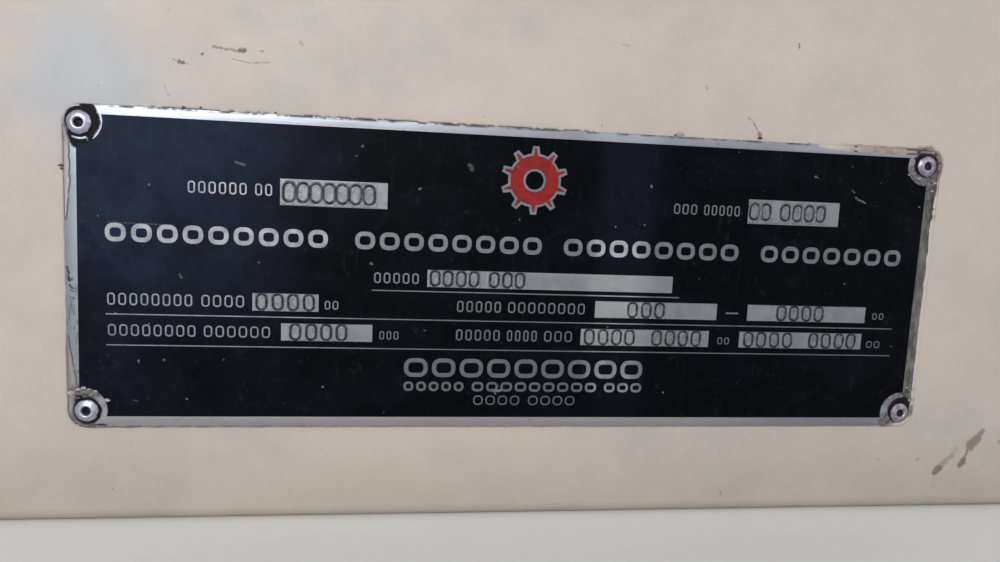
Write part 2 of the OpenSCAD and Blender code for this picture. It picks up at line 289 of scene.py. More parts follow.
# Grease round each rivet: dark patches as (across, up, radius) from the rivet's middle
GREASE = {
    "top_left": (
        (0.8, 0.3, 4.95), (2.0, 3.0, 2.9), (-2.5, -3.8, 2.2),
        (-0.9, -5.4, 1.9), (1.0, -5.1, 1.7), (2.8, -4.2, 1.4),
    ),
    "top_right": ((-0.2, 0.6, 4.5), (-3.9, 2.2, 0.9)),
    "bottom_left": ((0.0, 0.0, 4.4), (-2.2, 3.1, 1.8)),
    "bottom_right": ((0.3, 0.8, 4.6), (1.6, 4.2, 1.6)),
}

# Duller dirt round the rivets, as (across, up, radius, strength)
DULL_DIRT = {
    "top_left": ((-3.0, -4.0, 2.6, 0.4),),
    "top_right": (
        (-3.8, -2.6, 4.0, 0.9), (-0.6, -5.6, 3.6, 0.9), (-2.0, 3.6, 1.8, 0.7), (1.6, -4.6, 2.6, 1.0),
    ),
    "bottom_left": (
        (-1.6, 5.0, 3.7, 0.95), (1.9, 4.8, 2.9, 0.85), (-3.2, -3.4, 3.4, 0.9), (4.8, 1.6, 1.8, 0.5),
        (0.6, -4.8, 1.8, 0.6),
    ),
    "bottom_right": (
        (-4.0, -2.6, 3.6, 0.9), (-3.6, 4.2, 4.0, 0.75), (0.5, 5.6, 3.0, 0.85), (4.6, 0.5, 2.6, 0.85),
    ),
}

# Metal rubbed bright beside the grease: rivet, radius, half width, then middle and half turn in degrees
BRIGHT_ARCS = (
    ("top_left", 4.2, 0.24, -92, 26),
    ("top_left", 5.6, 0.36, -34, 17),
    ("top_left", 4.75, 0.42, 132, 44),
)

# Radius of the round floor
FLOOR_R = 6000.0


def to_frame(u, v, lift=0.0):
    """A point of the plate, in metres, in the shared frame."""
    return Vector((MIDDLE.x + u, MIDDLE.y - lift, MIDDLE.z + v)) * MM


def in_scene(name, data):
    """A new object in the scene."""
    made = bpy.data.objects.new(name, data)
    bpy.context.scene.collection.objects.link(made)
    return made


def make_mesh(name, vertices, faces, material):
    mesh = bpy.data.meshes.new(name)
    mesh.from_pydata(vertices, [], faces)
    mesh.materials.append(material)
    return in_scene(name, mesh)


def make_piece(name, vertices, faces, material, slot):
    """A mesh piece that rides with the part."""
    piece = make_mesh(name, vertices, faces, material)
    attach(piece, "root")
    return piece


def smooth(piece, angle):
    """Smooth shading, with edges sharper than the angle, in degrees, kept hard."""
    mesh = piece.data
    mesh.validate()
    mesh.shade_smooth()
    mesh.set_sharp_from_angle(angle=math.radians(angle))


def point_values(piece, name, values):
    attribute = piece.data.attributes.new(name, "FLOAT", "POINT")
    attribute.data.foreach_set("value", values)


def ramp(value, low, high):
    """0 at low, 1 at high, and smooth between."""
    t = min(max((value - low) / (high - low), 0.0), 1.0)
    return t * t * (3 - 2 * t)


def wobble(*place):
    """Smooth noise from -1 to 1."""
    return noise.noise(Vector((*place, 0.0, 0.0)[:3]))


# Outlines and rings


def arc(centre, radius, start, end, steps):
    return [
        (centre[0] + radius * math.cos(angle), centre[1] + radius * math.sin(angle))
        for angle in (start + (end - start) * i / steps for i in range(steps + 1))
    ]


def circle(centre, radius, steps=64):
    return arc(centre, radius, 0, 2 * math.pi * (steps - 1) / steps, steps - 1)


def rounded_box(left, right, low, high, radius, steps=4):
    outline = []
    corners = ((right, high, 0), (left, high, 1), (left, low, 2), (right, low, 3))
    for u, v, quarter in corners:
        centre = (u + (radius if u == left else -radius), v + (radius if v == low else -radius))
        outline += arc(centre, radius, quarter * math.pi / 2, (quarter + 1) * math.pi / 2, steps)
    return outline


def settled(u, v):
    """The plate's outline as it is, a little out of square at its left end and its foot."""
    if u < -PLATE_W / 4:
        u += EDGE_LEAN * (0.5 + v / PLATE_H)
    if v < -PLATE_H / 4:
        v += EDGE_LEAN / 2 * (1 + u / PLATE_W)
    return u, v


def plate_outline(grow, steps=10):
    half_w, half_h = PLATE_W / 2 + grow, PLATE_H / 2 + grow
    outline = rounded_box(-half_w, half_w, -half_h, half_h, CORNER_R + grow, steps)
    return [settled(*place) for place in outline]


def border_inside(grow):
    """The inner edge of the border, which steps round the lobe at each rivet."""
    outline = []
    for name in ("top_right", "top_left", "bottom_left", "bottom_right"):
        shift_u, shift_v, radius = LOBES[name]
        middle = (RIVETS[name][0] + shift_u, RIVETS[name][1] + shift_v)
        radius -= grow
        right = middle[0] > 0
        level = FIELD_TOP + grow if middle[1] > 0 else FIELD_LOW - grow
        side_v = middle[1] - math.copysign(radius, middle[1])
        edge = FIELD_RIGHT + grow if right else FIELD_LEFT + FIELD_LEAN * side_v - grow
        side = (edge, middle[1] - math.copysign(math.sqrt(radius**2 - (edge - middle[0]) ** 2), middle[1]))
        top = (middle[0] + math.sqrt(radius**2 - (level - middle[1]) ** 2) * (-1 if right else 1), level)
        start = math.atan2(side[1] - middle[1], side[0] - middle[0])
        end = math.atan2(top[1] - middle[1], top[0] - middle[0])
        turn = (end - start + math.pi) % (2 * math.pi) - math.pi
        corner = arc(middle, radius, start, start + turn, 28)
        outline += corner if name in ("top_right", "bottom_left") else corner[::-1]
    return outline


def turned(place, angle):
    return (
        place[0] * math.cos(angle) - place[1] * math.sin(angle),
        place[0] * math.sin(angle) + place[1] * math.cos(angle),
    )


def cog_outline(grow):
    """A plain cog with straight sided teeth."""
    foot_r = COG_R - TOOTH_H + grow
    foot_half = TOOTH_FOOT_W / 2 + grow
    tip = (TOOTH_TIP_W / 2 + grow, COG_R + grow)
    foot_angle = math.acos(foot_half / foot_r)
    pitch = 2 * math.pi / COG_TEETH
    tooth = [(foot_half, foot_r * math.sin(foot_angle)), tip, (-tip[0], tip[1])]
    root = arc((0, 0), foot_r, math.pi - foot_angle, foot_angle + pitch, 5)
    outline = [turned(place, index * pitch) for index in range(COG_TEETH) for place in tooth + root[:-1]]
    return [(u, v + COG_ROW) for u, v in outline]


def inside(outline, u, v):
    """Whether a point lies inside an outline."""
    crossings = 0
    for (u0, v0), (u1, v1) in zip(outline, outline[1:] + outline[:1]):
        if (v0 > v) != (v1 > v) and u < u0 + (v - v0) / (v1 - v0) * (u1 - u0):
            crossings += 1
    return crossings % 2 == 1


def ring_faces(count, rows):
    """Faces between closed sections of so many rows that follow one another round a ring."""
    faces = []
    for section in range(count):
        here, there = section * rows, (section + 1) % count * rows
        for i in range(rows):
            j = (i + 1) % rows
            faces.append((here + i, there + i, there + j, here + j))
    return faces


# The plate's face


class Relief:
    """Loops and points of the plate's face, each point with its lift, ink, tarnish and battering."""

    def __init__(self):
        self.points = []
        self.edges = []

    def point(self, place, lift, ink=0.0, tarnish=0.0, battered=0.0):
        self.points.append((Vector(place), lift, ink, tarnish, battered))

    def loop(self, outline, lift, tarnish=0.0):
        first = len(self.points)
        for place in outline:
            self.point(place, lift, 0.0, tarnish)
        count = len(outline)
        self.edges += [(first + i, first + (i + 1) % count) for i in range(count)]

    def island(self, outline_for, tarnish=0.0):
        """Metal left standing inside an outline, with a short slope down to the etched floor."""
        self.loop(outline_for(0.0), -ETCH, tarnish)
        self.loop(outline_for(-SLOPE), 0.0, tarnish)

    def pit(self, outline_for, tarnish=0.0):
        """Etched floor inside an outline."""
        self.loop(outline_for(0.0), 0.0, tarnish)
        self.loop(outline_for(-SLOPE), -ETCH, tarnish)


def box_outline(left, width, row, height, radius=0.12):
    steps = 2 if radius < 0.3 else 4

    def outline(grow):
        low, high = row - height / 2 - grow, row + height / 2 + grow
        return rounded_box(left - grow, left + width + grow, low, high, radius + grow, steps)

    return outline


def punch_zero(relief, centre, height, turn, half_field, room_left):
    """A fine patch of points that carries one punched zero, dented with a raised rim."""
    radius = height * PUNCH_ASPECT / 2
    straight = height / 2 - radius
    left, right = -min(radius + PUNCH_ASIDE, room_left), radius + PUNCH_ASIDE
    high = min(height / 2 + PUNCH_ABOVE, half_field)
    low = -high
    steps_u, steps_v = int((right - left) / PUNCH_STEP), int((high - low) / PUNCH_STEP)
    for i in range(steps_u + 1):
        for j in range(steps_v + 1):
            u = left + (right - left) * i / steps_u
            v = low + (high - low) * j / steps_v
            du, dv = turned((u, v), -turn)
            off_line = abs(math.hypot(du, max(abs(dv) - straight, 0.0)) - radius)
            dent = -PUNCH_DEPTH * math.exp(-((off_line / PUNCH_LINE) ** 2))
            rim = PUNCH_RIM * math.exp(-(((off_line - 0.62) / 0.18) ** 2))
            ink = 1 - ramp(off_line, 0.26, 0.48)
            battered = 1 - ramp(abs(u), radius + 0.5, radius + PUNCH_ASIDE)
            relief.point((centre[0] + u, centre[1] + v), dent + rim, ink, 1.0, battered)


def add_fields(relief, rng):
    for left, width, row, height, runs in FIELDS:
        relief.island(box_outline(left, width, row, height), 1.0)
        for start, count, pitch, zero_h in runs:
            for index in range(count):
                u = left + start + index * pitch + rng.uniform(-0.12, 0.12)
                turn = rng.uniform(-0.05, 0.05)
                half_field, room_left = height / 2 - PUNCH_CLEAR, u - left - PUNCH_CLEAR
                punch_zero(relief, (u, row), zero_h, turn, half_field, room_left)


def add_zero_rows(relief):
    """Rows of plain zeros that stand as high as the border."""
    for row, height, stroke, gap, groups in ZERO_ROWS:
        for left, right, count in groups:
            width = (right - left - gap * (count - 1)) / count
            radius = min(width, height) * 0.42
            inner_r = max(radius - stroke, 0.2)
            for index in range(count):
                start = left + index * (width + gap)
                outer = box_outline(start, width, row, height, radius)
                inner = box_outline(start + stroke, width - 2 * stroke, row, height - 2 * stroke, inner_r)
                relief.island(outer, MARK_TARNISH)
                relief.pit(inner, MARK_TARNISH)
    left, right, row, height = DASH
    relief.island(box_outline(left, right - left, row, height), MARK_TARNISH)


def add_rules(relief):
    relief.island(box_outline(MIDDLE_RULE_START, MIDDLE_RULE_LENGTH, MIDDLE_RULE, RULE_T), MARK_TARNISH)
    for row in (UPPER_RULE, LOWER_RULE):
        relief.island(box_outline(LEFT_END, RIGHT_END - LEFT_END, row, RULE_T), MARK_TARNISH)


def add_cog(relief):
    """A silver line round a red cog, and another round its hole."""
    hole = (0.0, COG_ROW)
    relief.island(cog_outline, MARK_TARNISH)
    relief.pit(lambda grow: cog_outline(grow - COG_LINE), MARK_TARNISH)
    relief.island(lambda grow: circle(hole, COG_HOLE_R + COG_LINE + grow), MARK_TARNISH)
    relief.pit(lambda grow: circle(hole, COG_HOLE_R + grow), MARK_TARNISH)


def plate_relief():
    relief = Relief()
    relief.loop(plate_outline(0.0), -EDGE_ROUND)
    relief.loop(plate_outline(-0.3 * EDGE_ROUND), -0.3 * EDGE_ROUND)
    relief.loop(plate_outline(-EDGE_ROUND), 0.0)
    relief.loop(border_inside(SLOPE), 0.0)
    relief.loop(border_inside(0.0), -ETCH)
    for place in RIVETS.values():
        relief.loop(circle(place, HOLE_R, HOLE_STEPS), 0.0)
    add_fields(relief, random.Random(7))
    add_zero_rows(relief)
    add_rules(relief)
    add_cog(relief)
    return relief


def face_middle(places, face):
    """Middle of a face in the plate's plane."""
    return [sum(places[i][axis] for i in face) / len(face) for axis in (0, 1)]


def triangles_of(points, edges):
    """Triangles inside the plate's outline and outside its rivet holes, with the points that they join."""
    places, _, faces, sources, _, _ = delaunay_2d_cdt(points, edges, [], 0, 1e-7, True)
    inside_hole = HOLE_R * math.cos(math.pi / HOLE_STEPS) * 0.9985
    kept = []
    for face in faces:
        u, v = face_middle(places, face)
        if all(math.hypot(u - hole[0], v - hole[1]) > inside_hole for hole in RIVETS.values()):
            kept.append(tuple(face))
    return places, kept, [source[0] for source in sources]


def rim_edges(faces):
    """The edges that only one face uses, in that face's direction."""
    seen = set()
    for face in faces:
        for i, start in enumerate(face):
            seen.add((start, face[(i + 1) % len(face)]))
    return [(a, b) for a, b in seen if (b, a) not in seen]


def film_solid(places, floor):
    """A watertight film: triangles in front, walls round their rims, and the same triangles behind."""
    used = sorted({i for face in floor for i in face})
    number = {old: new for new, old in enumerate(used)}
    fronts = [tuple(number[i] for i in face) for face in floor]
    count = len(used)
    vertices = [to_frame(*places[i], lift - ETCH) for lift in (FILM, -FILM) for i in used]
    walls = [(b, a, a + count, b + count) for a, b in sorted(rim_edges(fronts))]
    backs = [tuple(i + count for i in reversed(face)) for face in fronts]
    return vertices, fronts + walls + backs


def make_plate(material):
    """The plate's relief, walls round its outline and holes, and a plain back; gives its etched floor."""
    relief = plate_relief()
    points, *point_data = zip(*relief.points)
    places, faces, sources = triangles_of(points, relief.edges)
    lifts, *shown = ([values[source] for source in sources] for values in point_data)

    rims = sorted(rim_edges(faces))
    rim = sorted({i for edge in rims for i in edge})
    rim_number = {old: new for new, old in enumerate(rim)}
    rim_lines = [(rim_number[a], rim_number[b]) for a, b in rims]
    back_places, back_faces, back_sources = triangles_of([places[i] for i in rim], rim_lines)
    count = len(places)
    vertices = [to_frame(*place, lift) for place, lift in zip(places, lifts)]
    vertices += [to_frame(*place, -PLATE_T) for place in back_places]
    behind = {rim[source]: count + number for number, source in enumerate(back_sources)}
    walls = [(b, a, behind[a], behind[b]) for a, b in rims]
    backs = [tuple(count + i for i in reversed(face)) for face in back_faces]
    plate = make_piece("plate_metal", vertices, faces + walls + backs, material, "plate_metal")
    for name, values in zip(("ink", "tarnish", "battered"), shown):
        point_values(plate, name, values + [0.0] * len(back_places))
    smooth(plate, 30)
    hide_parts("data_plate")
    return places, [face for face in faces if all(lifts[i] < -ETCH + 1e-6 for i in face)]


def in_cog_ring(places, face, red_outline):
    """Whether a floor triangle lies in the red part of the cog."""
    u, v = face_middle(places, face)
    radius = math.hypot(u, v - COG_ROW)
    return COG_HOLE_R + COG_LINE / 2 < radius < COG_R and inside(red_outline, u, v)


def make_enamels(places, floor, black, red):
    """Thin films on the etched floor, red inside the cog's line and black elsewhere."""
    red_outline = cog_outline(-COG_LINE / 2)
    black_faces, red_faces = [], []
    for face in floor:
        (red_faces if in_cog_ring(places, face, red_outline) else black_faces).append(face)
    make_piece("plate_black_enamel", *film_solid(places, black_faces), black, "plate_enamel")
    make_piece("plate_red_enamel", *film_solid(places, red_faces), red, "mark_red")


# Rivets


def rivet_profile(head_r, collar_h, tail_l):
    """Half section of a set blind rivet as a closed loop of (radius, lift)."""
    rim_r = HEAD_RIM / 2
    crest_r = (COLLAR_R - MOUTH_R) / 2
    crest_lift = collar_h - crest_r
    seat = POCKET_L - GRIP - tail_l
    end = -GRIP - tail_l
    sleeve_r = POCKET_R + POCKET_WALL
    bulge_mid = (BULGE_R - BULGE_ROUND, -GRIP - BULGE_DROP)
    bulge_start = math.asin(BULGE_DROP / BULGE_ROUND)
    bulge_end = -math.acos((sleeve_r - bulge_mid[0]) / BULGE_ROUND)
    profile = [(SHANK_R, -GRIP), (SHANK_R, 0.0)]
    profile += arc((head_r - rim_r, rim_r), rim_r, -math.pi / 2, math.pi / 2, 8)
    slope_steps = 10
    collar_turn = math.radians(52)
    foot_r, foot_lift = head_r - rim_r, HEAD_RIM
    top_r = COLLAR_R - crest_r * (1 - math.cos(collar_turn))
    top_lift = crest_lift + crest_r * math.sin(collar_turn)
    for i in range(1, slope_steps):
        t = i / slope_steps
        rise = t + 0.10 * math.sin(math.pi * t)
        profile.append((foot_r + (top_r - foot_r) * t, foot_lift + (top_lift - foot_lift) * rise))
    profile += arc((COLLAR_R - crest_r, crest_lift), crest_r, collar_turn, math.pi, 12)
    profile += [(BORE_R, crest_lift - MOUTH_DEPTH), (BORE_R, seat), (POCKET_R, seat), (POCKET_R, end)]
    profile += [(sleeve_r, end), (sleeve_r, bulge_mid[1] + BULGE_ROUND * math.sin(bulge_end))]
    profile += arc(bulge_mid, BULGE_ROUND, bulge_end, bulge_start, 10)[1:]
    return profile


def make_rivet(name, material, seed):
    """A turned rivet body, a little dented and worn on its head."""
    low, high = box_mm("rivet_" + name)
    head_r = (high.x - low.x) / 2
    collar_h = MIDDLE.y - low.y
    tail_l = high.y - MIDDLE.y - GRIP
    profile = rivet_profile(head_r, collar_h, tail_l)
    turns = 96
    centre = RIVETS[name]
    vertices = []
    for turn in range(turns):
        angle = 2 * math.pi * turn / turns
        across, up = math.cos(angle), math.sin(angle)
        for radius, lift in profile:
            worn = ramp(lift, 0.15, 0.5)
            dent = worn * 0.035 * wobble(across * radius * 1.1 + seed, up * radius * 1.1, seed * 3.7)
            reach = min(radius + worn * 0.03 * wobble(across * 1.5, up * 1.5, seed), head_r)
            place = (centre[0] + reach * across, centre[1] + reach * up)
            vertices.append(to_frame(*place, min(lift + dent, collar_h)))
    faces = ring_faces(turns, len(profile))
    piece = make_piece("rivet_body_" + name, vertices, faces, material, "rivet_metal")
    smooth(piece, 38)
    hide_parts("rivet_" + name)


# Paint and dirt round the plate


def edge_stations():
    """Points round the plate's edge, each with its distance along it, and the length of the whole edge."""
    outline = plate_outline(0.0, 24)
    stations = []
    travelled = 0.0
    for start, end in zip(outline, outline[1:] + outline[:1]):
        length = math.dist(start, end)
        if length < 1e-6:
            continue
        pieces = max(1, round(length / STATION_STEP))
        for part in range(pieces):
            t = part / pieces
            u, v = start[0] + (end[0] - start[0]) * t, start[1] + (end[1] - start[1]) * t
            stations.append((u, v, travelled + length * t))
        travelled += length
    return stations, travelled


def outward(u, v):
    """Direction from the plate's face to its edge at a point of the outline."""
    inner_u = min(max(u, CORNER_R - PLATE_W / 2), PLATE_W / 2 - CORNER_R)
    inner_v = min(max(v, CORNER_R - PLATE_H / 2), PLATE_H / 2 - CORNER_R)
    return Vector((u - inner_u, v - inner_v)).normalized()


def lap_profile(stations, length):
    """The lap, and its dirt and painted edge shade, at every station, drawn evenly between the points
    where they are given.
    """
    marks = []
    for u, v, width, dirt_and_edge_shade in PAINT_LAP:
        nearest = min(stations, key=lambda station: math.dist(station[:2], (u, v)))
        marks.append((nearest[2], width, dirt_and_edge_shade))
    marks.sort()
    marks = [(marks[-1][0] - length, *marks[-1][1:])] + marks + [(marks[0][0] + length, *marks[0][1:])]
    profile = []
    for u, v, along in stations:
        before = max(mark for mark in marks if mark[0] <= along)
        after = min(mark for mark in marks if mark[0] > along)
        t = (along - before[0]) / (after[0] - before[0])
        base, dirt_and_edge_shade = (before[i] + (after[i] - before[i]) * t for i in (1, 2))
        ragged = 0.28 * wobble(u / 2.3, v / 2.3, 4.0) + 0.12 * wobble(u / 0.8, v / 0.8, 9.0)
        patchy = 0.9 * wobble(u / 1.7, v / 1.7, 3.0) + 0.3 * wobble(u / 0.7, v / 0.7, 6.0)
        covered = ramp(patchy + 1.6 * (dirt_and_edge_shade - 0.5), -0.1, 0.15)
        profile.append((max(base + ragged * min(base, 1.0), 0.0), covered))
    return profile


def lap_section(width, thickness, reach):
    """Section of the paint at one station, as (distance inward, lift, darkness), closed inside the metal.
    """
    # The darkness is dirt and painted shade where the paint meets the plate's edge, and a dark line along
    # its inner edge.
    climbs = ramp(width, 0.12, 0.4)
    foot = -PLATE_T
    lapped = (
        (-reach, foot - 0.03, 0.0), (-reach * 0.75, foot - 0.004, 0.1), (-reach * 0.5, foot + 0.04, 0.7),
        (-0.30, foot + 0.22, 1.0), (-0.12, foot + 0.60, 1.0), (-0.03, -0.05, 1.0),
        (0.16, thickness * 0.5, 1.0), (0.30, thickness * 0.9, 0.4), (width * 0.6, thickness, 0.0),
        (width - 0.22, thickness * 0.8, 0.1), (width - 0.06, 0.020, 1.0), (width + 0.24, 0.012, 1.0),
        (width + 0.32, -0.03, 1.0), (width * 0.5, -0.12, 0.5),
    )
    fillet = (
        (-reach, foot - 0.03, 0.0), (-reach * 0.75, foot - 0.004, 0.2), (-reach * 0.45, foot + 0.04, 0.6),
        (-0.24, foot + 0.12, 1.0), (-0.14, foot + 0.24, 1.0), (-0.06, foot + 0.40, 1.0),
        (0.0, foot + 0.50, 1.0), (0.06, foot + 0.50, 1.0), (0.12, foot + 0.46, 1.0),
        (0.18, foot + 0.42, 1.0), (0.24, foot + 0.38, 1.0), (0.27, foot + 0.36, 1.0),
        (0.30, foot + 0.34, 1.0), (0.15, foot + 0.20, 1.0),
    )
    return [tuple(low + (high - low) * climbs for low, high in zip(*pair)) for pair in zip(fillet, lapped)]


def make_paint_lap(material):
    """Cream paint that runs up to the plate and laps over its edge, as one closed ribbon round it."""
    stations, length = edge_stations()
    profile = lap_profile(stations, length)
    vertices, dirt_and_edge_shade = [], []
    for (u, v, _), (width, covered) in zip(stations, profile):
        out = outward(u, v)
        lump = max(wobble(u / 1.3, v / 1.3, 2.0), 0.0) * ramp(u, 60, 125) * ramp(v, 15, 38)
        thickness = 0.07 + 0.03 * wobble(u / 2.0, v / 2.0, 7.0) + 0.35 * lump
        reach = 0.80 + 0.30 * wobble(u / 4.0, v / 4.0, 5.0)
        section = lap_section(width, thickness, reach)
        # The section's darkness: dirt, and painted shade at the plate's edge, scaled by how dirty the
        # station is.
        for inward, lift, soil in section:
            vertices.append(to_frame(u - out.x * inward, v - out.y * inward, lift))
            dirt_and_edge_shade.append(soil * covered)
    faces = [(a, d, c, b) for a, b, c, d in ring_faces(len(stations), len(section))]
    piece = make_piece("paint_lap", vertices, faces, material, "panel_paint")
    point_values(piece, "dirt_and_edge_shade", dirt_and_edge_shade)
    smooth(piece, 50)


def make_crumbs(name, crumbs, material, slot):
    """Flattened lumps, each a closed body sunk a little into what it lies on."""
    rng = random.Random(11)
    gathered = bmesh.new()
    for u, v, size in crumbs:
        lump = bmesh.new()
        bmesh.ops.create_icosphere(lump, subdivisions=3, radius=0.5)
        seed = rng.uniform(0, 50)
        wide, tall = rng.uniform(0.9, 1.5), rng.uniform(0.6, 0.9)
        on_plate = abs(u) < PLATE_W / 2 and abs(v) < PLATE_H / 2
        for vertex in lump.verts:
            shape = vertex.co * (1 + 0.5 * wobble(*(vertex.co * 2.4 + Vector((seed, 0, 0)))))
            lift = shape.z * 0.45 * size + (0.02 if on_plate else 0.02 - PLATE_T)
            vertex.co = to_frame(u + shape.x * size * wide, v + shape.y * size * tall, lift)
        part = bpy.data.meshes.new("crumb")
        lump.to_mesh(part)
        gathered.from_mesh(part)
        lump.free()
        bpy.data.meshes.remove(part)
    bmesh.ops.recalc_face_normals(gathered, faces=gathered.faces)
    piece = make_piece(name, [], [], material, slot)
    gathered.to_mesh(piece.data)
    gathered.free()
    piece.data.shade_smooth()


# Materials


class Value:
    """A number that a graph works out at each point of a surface."""

    def __init__(self, graph, socket):
        self.graph = graph
        self.socket = socket

    def __add__(self, other):
        return self.graph.math("ADD", self, other)

    def __sub__(self, other):
        return self.graph.math("SUBTRACT", self, other)

    def __rsub__(self, other):
        return self.graph.math("SUBTRACT", other, self)

    def __mul__(self, other):
        return self.graph.math("MULTIPLY", self, other)

    def __abs__(self):
        return self.graph.math("ABSOLUTE", self)

    def ramp(self, low, high, at_low=0.0, at_high=1.0):
        """at_low where this is low, at_high where it is high, and smooth between."""
        ends = {"Value": self, "From Min": low, "From Max": high, "To Min": at_low, "To Max": at_high}
        smooth_ramp = self.graph.node("ShaderNodeMapRange", ends, interpolation_type="SMOOTHSTEP")
        return Value(self.graph, smooth_ramp)


class Graph:
    """Short calls for the nodes of a material or of the world."""

    def __init__(self, tree):
        self.nodes = tree.nodes
        self.links = tree.links

    def give(self, socket, value):
        """Link what feeds a socket, or set it to a plain number, colour or vector."""
        if isinstance(value, Value):
            value = value.socket
        if isinstance(value, bpy.types.NodeSocket):
            self.links.new(value, socket)
        else:
            socket.default_value = value

    def node(self, kind, inputs, output=0, **settings):
        """The output of a new node."""
        made = self.nodes.new(kind)
        for name, value in settings.items():
            setattr(made, name, value)
        for key, value in inputs.items():
            self.give(made.inputs[key], value)
        return made.outputs[output]

    def math(self, operation, a, b=0.0, clamp=False):
        return Value(self, self.node("ShaderNodeMath", {0: a, 1: b}, operation=operation, use_clamp=clamp))

    def most(self, a, b):
        return self.math("MAXIMUM", a, b)

    def least(self, a, b):
        return self.math("MINIMUM", a, b)


class Shade(Graph):
    """One material with one principled shader, whose colour is laid on in coats."""

    def __init__(self, name, colour):
        self.material = bpy.data.materials.new(name)
        self.material.use_nodes = True
        super().__init__(self.material.node_tree)
        self.colour = colour
        place = self.nodes.new("ShaderNodeTexCoord").outputs["Object"]
        self.place = self.vector("MULTIPLY", place, (1 / MM, 1 / MM, 1 / MM))
        on_plate = self.vector("SUBTRACT", self.place, tuple(MIDDLE))
        apart = self.node("ShaderNodeSeparateXYZ", {0: on_plate})
        self.u, self.depth, self.v = (Value(self, socket) for socket in apart.node.outputs)
        self.flat = self.node("ShaderNodeCombineXYZ", {0: self.u, 1: self.v})
        self.grains = {}

    def vector(self, operation, a, b=(0, 0, 0)):
        return self.node("ShaderNodeVectorMath", {0: a, 1: b}, "Vector", operation=operation)

    def measure(self, operation, a, b=(0, 0, 0)):
        return Value(self, self.node("ShaderNodeVectorMath", {0: a, 1: b}, "Value", operation=operation))

    def noise(self, size, detail=2.0, rough=0.5, stretch=(1, 1, 1), shift=0.0, warp=0.0):
        """Noise about 0.5, with features of the given size in millimetres."""
        spread = self.vector("MULTIPLY", self.place, tuple(1 / s for s in stretch))
        moved = self.vector("ADD", spread, (shift, shift * 0.7, shift * 1.3))
        inputs = {"Vector": moved, "Scale": 1 / size, "Detail": detail, "Roughness": rough}
        return Value(self, self.node("ShaderNodeTexNoise", {**inputs, "Distortion": warp}, "Fac"))

    def cells(self, size, shift=0.0):
        """Distance to scattered points in millimetres, and a random number for each."""
        moved = self.vector("ADD", self.flat, (shift, shift * 1.7, 0))
        inputs = {"Vector": moved, "Scale": 1 / size}
        distance = self.node("ShaderNodeTexVoronoi", inputs, "Distance", voronoi_dimensions="2D")
        chance = self.node("ShaderNodeSeparateColor", {0: distance.node.outputs["Color"]})
        return Value(self, distance) * size, Value(self, chance)

    def mix(self, factor, a, b):
        """A colour from a to b."""
        return self.node("ShaderNodeMix", {0: factor, 6: a, 7: b}, 2, data_type="RGBA")

    def between(self, factor, a, b):
        """A number from a to b."""
        return Value(self, self.node("ShaderNodeMix", {0: factor, 2: a, 3: b}, data_type="FLOAT"))

    def coat(self, factor, colour):
        """Lay a colour over what is there."""
        self.colour = self.mix(factor, self.colour, colour)

    def value_of(self, name):
        return Value(self, self.node("ShaderNodeAttribute", {}, "Fac", attribute_name=name))

    def distance_to(self, u, v):
        return self.measure("DISTANCE", self.flat, (u, v, 0))

    def grain(self, size):
        """Noise about 0 that makes marks ragged, made once for each size."""
        if size not in self.grains:
            self.grains[size] = self.noise(size, 3.0, 0.45) - 0.5
        return self.grains[size]

    def distance_to_line(self, start, end):
        """Distance to a line between two points of the plate's plane."""
        along = Vector((end[0] - start[0], end[1] - start[1], 0))
        rel = self.vector("SUBTRACT", self.flat, (*start, 0))
        share = self.measure("DOT_PRODUCT", rel, tuple(along / along.length_squared))
        share = self.math("MULTIPLY", share, 1.0, clamp=True)
        nearest = self.node("ShaderNodeVectorMath", {0: tuple(along), 3: share}, operation="SCALE")
        return self.measure("LENGTH", self.vector("SUBTRACT", rel, nearest))

    def marks(self, strokes):
        """The strongest of several ragged strokes and dots, and 0 away from them."""
        total = 0.0
        for *line, width, strength in strokes:
            is_dot = len(line) == 2
            off = self.distance_to(*line) if is_dot else self.distance_to_line(line[:2], line[2:])
            rough = self.grain(max(0.9, width)) * min(width * 2.4, 2.2)
            mark = (off + rough).ramp(width * 0.75, width * 0.3)
            total = self.most(total, mark * strength)
        return total

    def finish(self, roughness, height=None, depth=0.0, **sockets):
        """The finished material; its height from 0 to 1 stands for a depth in millimetres."""
        sockets.update(Base_Color=self.colour, Roughness=roughness)
        if height is not None:
            sockets["Normal"] = self.node("ShaderNodeBump", {"Height": height, "Distance": depth * MM})
        for name, value in sockets.items():
            self.give(self.nodes["Principled BSDF"].inputs[name.replace("_", " ")], value)
        return self.material


# Marks on the panel: strokes as (start u, start v, end u, end v, width, strength), and dots as
# (u, v, width, strength)
PANEL_SCUFFS = (
    (-93.6, 60, 0.8, 1), (-90.5, 62.2, -84, 61.4, 0.7, 0.6), (-83.4, 61.5, -82.3, 61.9, 1.3, 1),
    (-100.8, 58.1, -100, 57.8, 0.5, 0.7), (-99.4, 57.6, -98.4, 57.4, 0.8, 0.9),
    (-98.2, 57.3, -97.2, 57.2, 0.35, 0.4), (-85.5, 59.3, -81.3, 58.5, 0.35, 0.5),
    (-81.3, 58.5, -75.4, 58.9, 0.35, 0.5), (-78.2, 61.9, -77.2, 61.9, 0.4, 0.5),
    (-67.4, 65, -66.9, 64.3, 0.9, 0.3), (-103.2, 51.2, -102.9, 49.6, 0.4, 0.35),
    (-102.4, 49, -102, 48.4, 0.4, 0.3), (64.6, 51.9, 66.4, 51, 0.4, 0.45),
    (66.4, 51, 69.2, 47, 0.35, 0.55), (79.1, 74.6, 79.3, 73, 0.45, 0.8),
    (24.6, 70.6, 26.4, 70.3, 0.6, 0.25), (50.8, 60.6, 51.3, 59.4, 0.6, 0.35), (19.65, 47.05, 0.6, 0.7),
    (-15.6, 47.6, 0.5, 0.6),
)
